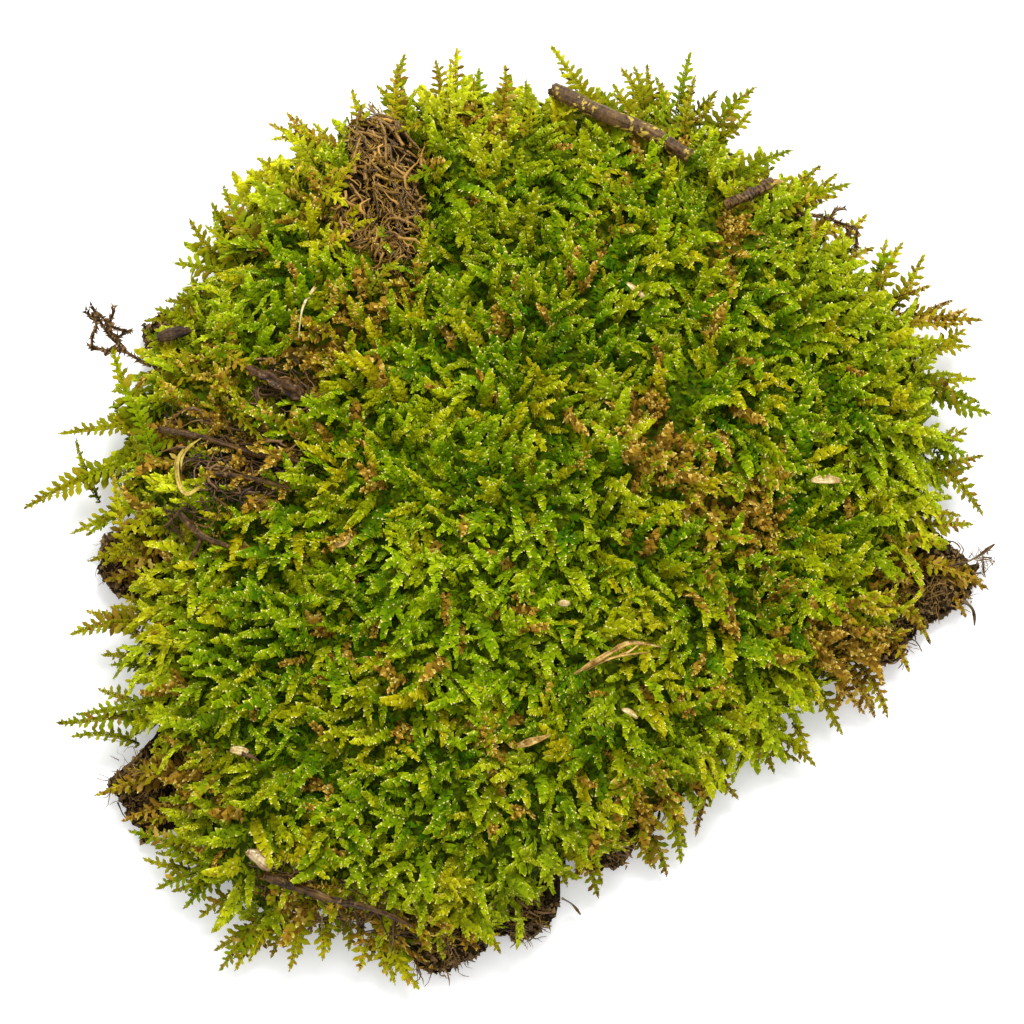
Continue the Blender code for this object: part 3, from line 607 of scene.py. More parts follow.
patches = {
    "dead": [
        (660, 460, 48, 0.9), (648, 420, 26, 1.0), (735, 515, 52, 0.9), (715, 245, 30, 0.9),
        (475, 150, 22, 0.8), (830, 640, 40, 1.1), (855, 680, 30, 1.0), (635, 785, 26, 0.9),
        (485, 725, 28, 0.8), (190, 768, 34, 1.2), (350, 325, 26, 0.8), (400, 300, 28, 0.7),
        (320, 360, 34, 0.9), (200, 450, 42, 1.0), (275, 462, 42, 1.0), (300, 885, 36, 0.9),
        (350, 902, 36, 1.0), (412, 928, 32, 1.0), (895, 580, 40, 1.0), (330, 205, 26, 0.9),
        (120, 548, 26, 1.0), (522, 345, 14, 0.8), (755, 600, 28, 0.5), (600, 235, 22, 0.5),
        (700, 690, 22, 0.5), (130, 345, 26, 1.0), (875, 240, 26, 0.8), (225, 395, 40, 0.6),
        (620, 830, 22, 0.9), (960, 590, 30, 1.1), (160, 310, 20, 0.7), (545, 665, 20, 0.4),
    ],
    "yellow": [
        (290, 180, 55, 1.1), (245, 215, 38, 0.8), (222, 255, 38, 0.5), (600, 420, 40, 0.3),
        (930, 400, 40, 0.5), (365, 732, 16, 1.0), (180, 490, 34, 1.0), (140, 610, 40, 0.5),
        (500, 130, 60, 0.4), (440, 92, 52, 0.8), (640, 105, 44, 0.4), (620, 690, 40, 0.3),
        (330, 935, 55, 0.6), (605, 850, 38, 0.8), (700, 800, 50, 0.5), (150, 420, 40, 0.5),
        (515, 745, 24, 0.4), (645, 620, 36, 0.3), (95, 720, 40, 0.6),
    ],
    "deepness": [
        (515, 280, 95, 1.0), (365, 640, 60, 0.6), (315, 720, 110, 0.9), (495, 820, 78, 0.9),
        (810, 300, 85, 0.7), (560, 500, 70, 0.5), (360, 560, 60, 0.4), (700, 640, 60, 0.5),
        (420, 770, 60, 0.6), (250, 640, 60, 0.6), (640, 350, 60, 0.4), (210, 820, 60, 0.5),
        (800, 410, 60, 0.8), (470, 820, 70, 0.6),
    ],
    "bright": [
        (258, 330, 46, 1.0), (475, 570, 78, 0.7), (545, 565, 42, 0.7), (660, 350, 44, 0.4),
        (430, 420, 46, 0.5), (750, 700, 55, 0.5), (560, 210, 50, 0.3), (900, 470, 50, 0.6),
        (430, 480, 50, 0.4), (470, 655, 62, 0.8),
    ],
}
fray = {"scale": 160, "pixels": 26, "soft": 0.6}       # how ragged the edge of a patch is


def traitAt(name, point):
    shift = noise.noise_vector(Vector(point) * fray["scale"]) * fray["pixels"]
    across, down = pixelOf(point)
    across, down = across + shift.x, down + shift.y
    found = 0.0
    for x, y, radius, strength in patches[name]:
        away = math.hypot(across - x, down - y) / radius
        found = max(found, strength * max(0.0, 1 - away * away) ** fray["soft"])
    return min(found, 1.0)


# Where the moss is bare: the tangle of roots, the dark hollow and the streaks of old stems.
bareSpots = [
    (382, 150, 36, 1.0), (390, 190, 28, 1.0), (382, 238, 38, 1.0), (282, 390, 32, 1.0), (240, 462, 30, 0.5),
    (195, 525, 18, 0.5), (620, 128, 24, 0.5), (752, 192, 20, 0.5), (285, 478, 24, 0.5), (330, 892, 22, 0.7),
    (300, 882, 16, 0.7), (366, 901, 20, 0.8), (412, 920, 20, 0.8), (563, 606, 10, 1.0), (822, 486, 14, 0.9),
    (244, 752, 14, 0.9), (532, 742, 15, 0.8), (345, 546, 11, 0.9), (616, 660, 22, 0.6), (628, 714, 10, 0.9),
    (636, 296, 10, 0.9), (185, 480, 20, 0.6), (264, 858, 12, 0.9),
]


def bareAt(point):
    across, down = pixelOf(point)
    found = 0.0
    for x, y, radius, strength in bareSpots:
        away = math.hypot(across - x, down - y) / radius
        found = max(found, strength * max(0.0, 1 - away ** 3))
    return found


# The solids underneath, as the rays find them

def treeOf(*names):
    points, faces = [], []
    for name in names:
        mesh = frame["nodes"][name].data
        start = len(points)
        points += [vertex.co.copy() for vertex in mesh.vertices]
        faces += [[start + k for k in polygon.vertices] for polygon in mesh.polygons]
    return BVHTree.FromPolygons(points, faces)


mossSolid = treeOf("moss_mat")
groundSolid = treeOf("moss_mat", "soil", "root_tangle")


def topAt(tree, x, y):
    hit = tree.ray_cast(Vector((x, y, 0.1)), -above)[0]
    return None if hit is None else hit.z


def softTop(tree, x, y, radius):
    found = []
    for k in range(9):
        turn, away = k * math.pi / 4, radius * (k < 8)
        height = topAt(tree, x + math.cos(turn) * away, y + math.sin(turn) * away)
        if height is not None:
            found.append(height)
    return sum(found) / len(found) if found else None


rayStart = {"guess": 14 * mm, "beside": 4 * mm, "tries": 6}     # beside: the height where no solid is


def surfaceAt(across, down, tree=groundSolid):
    # The point of the solid behind a pixel.
    height = rayStart["guess"]
    for _ in range(rayStart["tries"]):
        point = spot(across, down, height)
        found = topAt(tree, point.x, point.y)
        height = (height + (found if found is not None else rayStart["beside"])) / 2
    return spot(across, down, height)


# The bed: a closed surface just under the leaves, taken from the solid cushion, dark partly as the old moss
# under the leaves and partly as painted shade in the gaps between the fronds.

bed = {
    "heart": (525, 505),
    "heartHeight": 8 * mm,
    "heartRadius": 2 * mm,
    "spokes": 150,
    "rings": 46,
    "crowded": 0.8,                 # under 1, the rings stand closer together towards the edge
    "farthest": 84 * mm,
    "step": 0.5 * mm,
    "sunk": 2.3 * mm,               # how far it lies below the solid cushion's top
    "edgeDrop": 1.2 * mm,
    "floor": 4.9 * mm,              # its underside, just over the soil
    "leastWall": 0.6 * mm,
    "sampleRadius": 1.4 * mm,
    "swirl": 2.5,                   # how far the lay of the fronds turns from straight outwards
    "swirlScale": 75,
    "fringe": 0.82,                 # how far out, from 0 to 1, the fronds begin to hang down
    "hang": 0.9,
    "yellowFringe": (0.8, 0.55),    # how far out it begins, and how yellow it gets
    "middle": 26 * mm,              # the radius of the middle patch, round which lie four others
}


def makeBed():
    heart = spot(*bed["heart"], bed["heartHeight"])
    spokes, rings = bed["spokes"], bed["rings"]
    turns = [2 * math.pi * k / spokes for k in range(spokes)]
    reach = []
    for turn in turns:
        away = bed["farthest"]
        while topAt(mossSolid, heart.x + math.cos(turn) * away, heart.y + math.sin(turn) * away) is None:
            away -= bed["step"]
        reach.append(away)
    # The least of its neighbours leaves out the single shoots that stand out.
    reach = [min(reach[(k + step) % spokes] for step in range(-2, 3)) for k in range(spokes)]
    reach = [sum(reach[(k + step) % spokes] for step in (-1, 0, 1)) / 3 for k in range(spokes)]
    points, faces, outs = [], [], []

    def addPoint(place, out):
        points.append(place)
        outs.append(out)

    def addRing(share, height=None, drop=0.0):
        for k, turn in enumerate(turns):
            x = heart.x + math.cos(turn) * reach[k] * share
            y = heart.y + math.sin(turn) * reach[k] * share
            z = height
            if z is None:
                z = softTop(mossSolid, x, y, bed["sampleRadius"] * min(1, share * 8)) or bed["heartHeight"]
                z = max(z - bed["sunk"] - drop, bed["floor"] + bed["leastWall"])
            addPoint((x, y, z), share)

    addPoint((heart.x, heart.y, softTop(mossSolid, heart.x, heart.y, bed["heartRadius"]) - bed["sunk"]), 0.0)
    for ring in range(1, rings + 1):
        addRing((ring / rings) ** bed["crowded"], drop=bed["edgeDrop"] * (ring == rings))
    addRing(0.99, bed["floor"] + bed["leastWall"] / 2)
    addRing(0.9, bed["floor"])
    addRing(0.45, bed["floor"])
    addPoint((heart.x, heart.y, bed["floor"]), 0.0)
    for k in range(spokes):
        following = (k + 1) % spokes
        faces.append((0, 1 + k, 1 + following))
        for ring in range(rings + 2):
            first, second = 1 + ring * spokes + k, 1 + ring * spokes + following
            faces.append((first, first + spokes, second + spokes, second))
        last = 1 + (rings + 2) * spokes
        faces.append((last + k, len(points) - 1, last + following))
    mesh = bpy.data.meshes.new("mossBed")
    mesh.from_pydata(points, [], faces)
    mesh.materials.append(brown["mossBed"])
    mesh.update()
    return mesh, outs, heart


def markBed(mesh, outs, heart):
    traits = {name: [] for name in patches}
    lay, cover = [], []
    yellowFrom, yellowMost = bed["yellowFringe"]
    for vertex, out in zip(mesh.vertices, outs):
        point = vertex.co
        for name in patches:
            traits[name].append(traitAt(name, point))
        fringe = max(0.0, (out - yellowFrom) / (1 - yellowFrom))
        traits["yellow"][-1] = max(traits["yellow"][-1], yellowMost * fringe)
        turn = math.atan2(point.y - heart.y, point.x - heart.x)
        turn += bed["swirl"] * noise.noise(Vector((point.x, point.y, 0.2)) * bed["swirlScale"])
        hanging = bed["hang"] * max(0.0, (out - bed["fringe"]) / (1 - bed["fringe"]))
        lay.append((math.cos(turn), math.sin(turn), -hanging))
        cover.append(0.0 if vertex.normal.z < -0.3 else 1 - min(1.0, bareAt(point)))
    for name, values in {**traits, "cover": cover}.items():
        setFloats(mesh, name, values)
    setVectors(mesh, "lay", lay)
    patch = []
    for polygon in mesh.polygons:
        across, along = polygon.center.x - heart.x, polygon.center.y - heart.y
        quarter = int(math.atan2(along, across) % (2 * math.pi) / (2 * math.pi) * 4)
        patch.append(0 if math.hypot(across, along) < bed["middle"] else 1 + quarter)
    mesh.attributes.new("patch", "INT", "FACE").data.foreach_set("value", patch)


bedMesh, bedOuts, heart = makeBed()
markBed(bedMesh, bedOuts, heart)
print("bed made:", len(bedMesh.polygons), "faces")


# Leaves. Each is a low keel over a closed flat underside: along it, its edge at each side, its crest.

leafForms = {
    "lobe": {"edge": [(0.0, 0.08), (0.28, 0.20), (0.40, 0.14), (0.64, 0.21), (0.78, 0.13)],
             "crest": (0.40, 0.06)},
    "scale": {"edge": [(0.24, 0.52)], "crest": (0.42, 0.20)},
    "shrunk": {"edge": [(0.10, 0.24)], "crest": (0.36, 0.16)},
}
leafSag = 0.06                      # how far a leaf's edge sinks on the way to its tip


def makeLeaf(name):
    look = leafForms[name]
    bm = bmesh.new()
    rim = bm.verts.layers.float.new("rim")
    tipped = bm.verts.layers.float.new("tipped")
    outline = [bm.verts.new((x, y, -leafSag * x)) for x, y in look["edge"]]
    outline.append(bm.verts.new((1.0, 0.0, -0.08)))
    outline[-1][tipped] = 1.0
    outline += [bm.verts.new((x, -y, -leafSag * x)) for x, y in reversed(look["edge"])]
    for vertex in outline:
        vertex[rim] = 1.0
    crest = bm.verts.new((look["crest"][0], 0, look["crest"][1]))
    for k in range(len(outline)):
        bm.faces.new((outline[(k + 1) % len(outline)], outline[k], crest))
    under = bm.faces.new(outline)
    bmesh.ops.recalc_face_normals(bm, faces=bm.faces)
    bakeMap = bm.loops.layers.uv.new("OFBake")
    for face in bm.faces:
        middle, width = (0.86, 0.26) if face == under else (0.36, 0.80)
        for loop in face.loops:
            loop[bakeMap].uv = (0.1 + 0.8 * loop.vert.co.x, middle + width * loop.vert.co.y)
    return bpy.data.objects.new(name, meshFrom(bm, name))


leaves = {name: makeLeaf(name) for name in leafForms}


# A leafy stem: pairs of leaves along each line of the mesh, a row over its back, and the stem itself.

leafySetting = {
    "rows": ((-1.0, 0.0), (1.0, 0.5), (0.0, 0.25)),     # which side, and how much of a pitch farther on
    "grow": (2.6, 0.5),             # how fast the leaves get larger from the foot, and how large they begin
    "lift": (-0.3, 1.0),
    "close": 0.6,                   # how far the leaves close up towards the tip
    "back": (0.85, 0.42, 1.5),      # a back leaf's way ahead, up and aside
    "backSize": 0.9,
    "size": (0.8, 1.2),
}


def makeLeafyStemTree():
    look = leafySetting
    tree, give, out = newTree(
        "leafyStem", Object="Leaf", Bool="Back Leaves", Int="Stem Points, Seed", Material="Finish",
        Float="Pitch, Leaf Length, Side Angle, Disorder, Taper, Taper Bend, Lift, Stem Radius")
    leaf = put(tree, "GeometryNodeObjectInfo", {"Object": give["Leaf"]}).outputs["Geometry"]
    curve = put(tree, "GeometryNodeMeshToCurve", {"Mesh": give["Geometry"]}).outputs[0]
    fine = put(tree, "GeometryNodeResampleCurve", {"Curve": curve, "Length": give["Pitch"]}, mode="LENGTH")
    points = put(tree, "GeometryNodeCurveToPoints", {"Curve": fine.outputs[0]}, mode="EVALUATED").outputs
    tangent = points["Tangent"]
    side = vectorCalc(tree, "NORMALIZE", vectorCalc(tree, "CROSS_PRODUCT", tangent, (0, 0, 1)))
    up = vectorCalc(tree, "CROSS_PRODUCT", side, tangent)
    along, size = named(tree, "along"), named(tree, "size")
    grow = calc(tree, "MINIMUM", calc(tree, "MULTIPLY_ADD", along, *look["grow"]), 1.0)
    narrow = times(tree, calc(tree, "POWER", along, give["Taper Bend"]), give["Taper"])
    length = times(tree, times(tree, grow, calc(tree, "SUBTRACT", 1.0, narrow)),
                   times(tree, size, give["Leaf Length"]))
    parts = []
    for number, (sign, ahead) in enumerate(look["rows"]):
        offset = scaled(tree, tangent, times(tree, give["Pitch"], ahead))
        row = put(tree, "GeometryNodeSetPosition", {"Geometry": points["Points"], "Offset": offset}).outputs[0]
        seed = plus(tree, give["Seed"], number * 7.0)
        wander = times(tree, anyValue(tree, -1.0, 1.0, seed), give["Disorder"])
        lift = times(tree, anyValue(tree, *look["lift"], plus(tree, seed, 1.0)), give["Lift"])
        if sign:
            closing = times(tree, calc(tree, "POWER", along, 3.0), look["close"])
            turn = times(tree, give["Side Angle"], calc(tree, "SUBTRACT", 1.0, closing))
            turn = plus(tree, turn, wander)
            forward = scaled(tree, tangent, calc(tree, "COSINE", turn))
            outward = scaled(tree, side, times(tree, calc(tree, "SINE", turn), sign))
            heading = vectorCalc(tree, "ADD", forward, outward)
            heading = vectorCalc(tree, "ADD", heading, scaled(tree, up, lift))
            leafLength = length
        else:
            forth, upward, aside = look["back"]
            heading = vectorCalc(tree, "ADD", scaled(tree, tangent, forth), scaled(tree, up, upward))
            heading = vectorCalc(tree, "ADD", heading, scaled(tree, side, times(tree, wander, aside)))
            leafLength = times(tree, length, look["backSize"])
        leafLength = times(tree, leafLength, anyValue(tree, *look["size"], plus(tree, seed, 2.0)))
        grown = setOut(tree, row, leaf, facing(tree, heading, up), leafLength,
                       True if sign else give["Back Leaves"])
        grown = keep(tree, grown, "leafShade", anyValue(tree, 0.0, 1.0, plus(tree, seed, 3.0)))
        grown = keep(tree, grown, "whim", anyValue(tree, -1.0, 1.0, plus(tree, seed, 4.0)))
        parts.append(put(tree, "GeometryNodeRealizeInstances", {0: grown}).outputs[0])
    coarse = put(tree, "GeometryNodeResampleCurve", {"Curve": curve, "Count": give["Stem Points"]},
                 mode="COUNT").outputs[0]
    girth = times(tree, calc(tree, "MULTIPLY_ADD", along, -0.7, 1.0), size)
    parts.append(keep(tree, tube(tree, coarse, 3, give["Stem Radius"], girth), "stem", 1.0, "POINT"))
    joined = put(tree, "GeometryNodeJoinGeometry")
    for part in parts:
        tree.links.new(part, joined.inputs[0])
    endTree(tree, out, joined.outputs[0], give["Finish"])
    return tree


leafyStem = makeLeafyStemTree()


# Lines of points, each with values that its leaves or its tube read.
def makeLines(lines):
    points, edges = [], []
    values = {}
    for line, traits in lines:
        start = len(points)
        points += [tuple(point) for point in line]
        edges += [(start + k, start + k + 1) for k in range(len(line) - 1)]
        for name, value in traits.items():
            each = list(value) if isinstance(value, (list, tuple)) else [value] * len(line)
            values.setdefault(name, []).extend(each)
    mesh = bpy.data.meshes.new("lines")
    mesh.from_pydata(points, edges, [])
    for name, entries in values.items():
        setFloats(mesh, name, entries)
    return mesh


def dressLines(lines, leaf, look, seed, wild=1.0):
    values = {
        "Leaf": leaves[leaf], "Pitch": look["pitch"], "Leaf Length": look["leafLength"],
        "Side Angle": look["sideAngle"], "Disorder": look["disorder"] * wild, "Taper": look["taper"],
        "Taper Bend": look["taperBend"], "Lift": look["lift"], "Back Leaves": look["backLeaves"],
        "Stem Radius": look["stemRadius"], "Stem Points": look["stemPoints"], "Seed": seed,
        "Finish": mossLeaf,
    }
    return runTree(leafyStem, makeLines(lines), values)


# The kinds of frond that cover the clump: their length, how they bow up and aside, and their leaves.
frondKinds = {
    "count": 12,
    "deadCount": 4,
    "length": (4.2 * mm, 6.6 * mm),
    "rise": (0.4 * mm, 1.6 * mm),
    "bend": (-1.5 * mm, 1.5 * mm),
    "points": 7,
    "pitch": 0.48 * mm,
    "leafLength": 1.20 * mm,
    "sizes": (0.85, 1.15),          # of every other kind
    "sideAngle": math.radians(50),
    "disorder": 0.42,
    "deadDisorder": 1.6,            # how much more a dead frond's leaves stray
    "deadLeaf": 1.05,               # and how much larger they are
    "taper": 0.42,
    "taperBend": 2.6,
    "lift": 0.5,
    "backLeaves": True,
    "stemPoints": 3,
    "stemRadius": 0.22 * mm,
    "armEvery": 3,                  # every third kind has two arms
    "armLength": 0.315,             # how far they reach ahead and aside, as a share of the frond
    "armRise": 0.3 * mm,
    "armSize": 0.8,
}


def makeFronds():
    look = frondKinds
    collection = openCollection("fronds")
    chance = random.Random(5)
    for number in range(look["count"] + look["deadCount"]):
        withered = number >= look["count"]
        length, rise, bend = (chance.uniform(*look[name]) for name in ("length", "rise", "bend"))
        line = [Vector((length * t, bend * t * t, rise * math.sin(math.pi * 0.75 * t)))
                for t in shares(look["points"])]
        size = look["sizes"][number % 2] * (look["deadLeaf"] if withered else 1)
        lines = [(line, {"along": shares(len(line)), "size": size})]
        if number % look["armEvery"] == 2:
            for sign, start in ((1, 2), (-1, 3)):
                reach = length * look["armLength"]
                arm = [line[start] + Vector((reach * t, sign * reach * t, look["armRise"] * t))
                       for t in shares(4)]
                lines.append((arm, {"along": [0.25 + 0.75 * t for t in shares(4)], "size": look["armSize"]}))
        mesh = dressLines(lines, "scale", look, number * 31, look["deadDisorder"] if withered else 1.0)
        collection.objects.link(bpy.data.objects.new("frond%02d" % number, mesh))
    return collection


# The canopy: fronds set over the bed, lying the way its lay says and leaning up from it.

canopy = {
    "Spacing": 1.60 * mm,
    "Density": 1000000.0,
    "Smallest": 0.75,
    "Largest": 1.2,
    "Lean": math.radians(23),
    "Lean Spread": math.radians(24),
    "Turn Spread": math.radians(78),
    "Roll": 0.45,
    "Dead Share": 0.05,
    "Sink": 0.3 * mm,
    "Heave": 1.2 * mm,              # how far whole tufts stand above or below the others
    "Tuft Scale": 190.0,
}
canopyNames = ["mossMiddle", "mossBackRight", "mossBackLeft", "mossFrontLeft", "mossFrontRight"]


def makeCanopyTree():
    tree, give, out = newTree(
        "mossCanopy", Collection="Fronds", Int="Patch, Seed", Material="Finish",
        Float="Spacing, Density, Smallest, Largest, Lean, Lean Spread, Turn Spread, Roll, Sink, Heave, "
              "Tuft Scale, Dead Share")
    here = openSocket(put(tree, "FunctionNodeCompare", {"A": named(tree, "patch", "INT"), "B": give["Patch"]},
                          data_type="INT", operation="EQUAL").outputs)
    strewn = strew(tree, give, named(tree, "cover"), here)
    normal, lay = strewn["Normal"], named(tree, "lay", "FLOAT_VECTOR")
    upright = scaled(tree, normal, vectorCalc(tree, "DOT_PRODUCT", lay, normal))
    flat = vectorCalc(tree, "NORMALIZE", vectorCalc(tree, "SUBTRACT", lay, upright))
    tuft = put(tree, "ShaderNodeTexNoise", {"Scale": give["Tuft Scale"], "Detail": 1.0}).outputs[0]
    tuft = spread(tree, tuft, 0.3, 0.7, -1.0, 1.0)
    lifted = calc(tree, "SUBTRACT", times(tree, tuft, give["Heave"]), give["Sink"])
    sunk = put(tree, "GeometryNodeSetPosition",
               {"Geometry": strewn["Points"], "Offset": scaled(tree, normal, lifted)}).outputs[0]
    fated = calc(tree, "LESS_THAN", anyValue(tree, 0.0, 1.0, 9), give["Dead Share"])
    fated = calc(tree, "MAXIMUM", named(tree, "dead"), times(tree, fated, 0.8))
    sunk = keep(tree, sunk, "dead", fated, "POINT")
    # Lean is a turn about the frond's own Y, which is negative when its tip rises.
    rise = calc(tree, "MULTIPLY_ADD", anyValue(tree, -1.0, 1.0, 1), give["Lean Spread"], give["Lean"])
    yaw = times(tree, anyValue(tree, -1.0, 1.0, 2), give["Turn Spread"])
    roll = times(tree, anyValue(tree, -1.0, 1.0, 3), give["Roll"])
    turned = facing(tree, flat, normal)
    for angles in ({2: yaw}, {0: roll, 1: times(tree, rise, -1.0)}):
        step = put(tree, "ShaderNodeCombineXYZ", angles).outputs[0]
        step = put(tree, "FunctionNodeEulerToRotation", {0: step}).outputs[0]
        turned = put(tree, "FunctionNodeRotateRotation", {"Rotation": turned, "Rotate By": step},
                     rotation_space="LOCAL").outputs[0]
    count = frondKinds["count"]
    live = anyValue(tree, 0, count - 1, 4, "INT")
    gone = anyValue(tree, count, count + frondKinds["deadCount"] - 1, 5, "INT")
    isDead = calc(tree, "GREATER_THAN", named(tree, "dead"), anyValue(tree, 0.35, 0.85, 6))
    kind = put(tree, "GeometryNodeSwitch", {0: isDead, 1: live, 2: gone}, input_type="INT").outputs[0]
    size = anyValue(tree, give["Smallest"], give["Largest"], 7)
    grown = setOut(tree, sunk, childrenOf(tree, give["Fronds"]), turned, size, kind=kind)
    hue = put(tree, "ShaderNodeTexNoise", {"Scale": times(tree, give["Tuft Scale"], 0.8)}).outputs[0]
    hue = plus(tree, spread(tree, hue, 0.32, 0.68, 0.0, 0.5), anyValue(tree, 0.0, 0.5, 8))
    endTree(tree, out, keep(tree, grown, "tint", hue), give["Finish"])
    return tree


# The carpet: single leaves close over the bed, that show in the gaps between the fronds.

carpet = {
    "Spacing": 0.64 * mm,
    "Density": 5000000.0,
    "Smallest": 0.9 * mm,
    "Largest": 1.5 * mm,
    "Upright": 0.55,
    "Seed": 3,
}
# Their low along and shade paint them darker: painted shade in the gaps between the fronds.
carpetTraits = {"leafShade": (0.0, 0.66), "tint": (0.0, 0.7), "along": (0.05, 0.35)}


def makeCarpetTree():
    tree, give, out = newTree("mossCarpet", Object="Leaf", Int="Seed", Material="Finish",
                              Float="Spacing, Density, Smallest, Largest, Upright")
    strewn = strew(tree, give, named(tree, "cover"))
    normal = strewn["Normal"]
    stray = anyValue(tree, (-1, -1, -1), (1, 1, 1), 2, "FLOAT_VECTOR")
    heading = vectorCalc(tree, "ADD", scaled(tree, normal, give["Upright"]), stray)
    leaf = put(tree, "GeometryNodeObjectInfo", {"Object": give["Leaf"]}).outputs["Geometry"]
    size = anyValue(tree, give["Smallest"], give["Largest"], 4)
    grown = setOut(tree, strewn["Points"], leaf, facing(tree, heading, normal), size)
    for number, (name, (low, high)) in enumerate(carpetTraits.items()):
        grown = keep(tree, grown, name, anyValue(tree, low, high, 20 + number))
    endTree(tree, out, grown, give["Finish"])
    return tree


fronds = makeFronds()
mossCanopy = makeCanopyTree()
addPiece("mossBed", bedMesh, ("moss_mat",))
mesh = runTree(makeCarpetTree(), bedMesh.copy(), dict(carpet, Leaf=leaves["scale"], Finish=mossLeaf))
addGrown("mossCarpet", mesh, ("moss_mat",))
for number, name in enumerate(canopyNames):
    values = dict(canopy, Fronds=fronds, Patch=number, Seed=11 + number, Finish=mossLeaf)
    addGrown(name, runTree(mossCanopy, bedMesh.copy(), values), ("moss_mat",))
dropCollection(fronds)
print("canopy made")


# Shoots that stand out round the edge. Each is the pixel of its tip and of its foot, the height of its
# tip and its full width, both in millimetres.

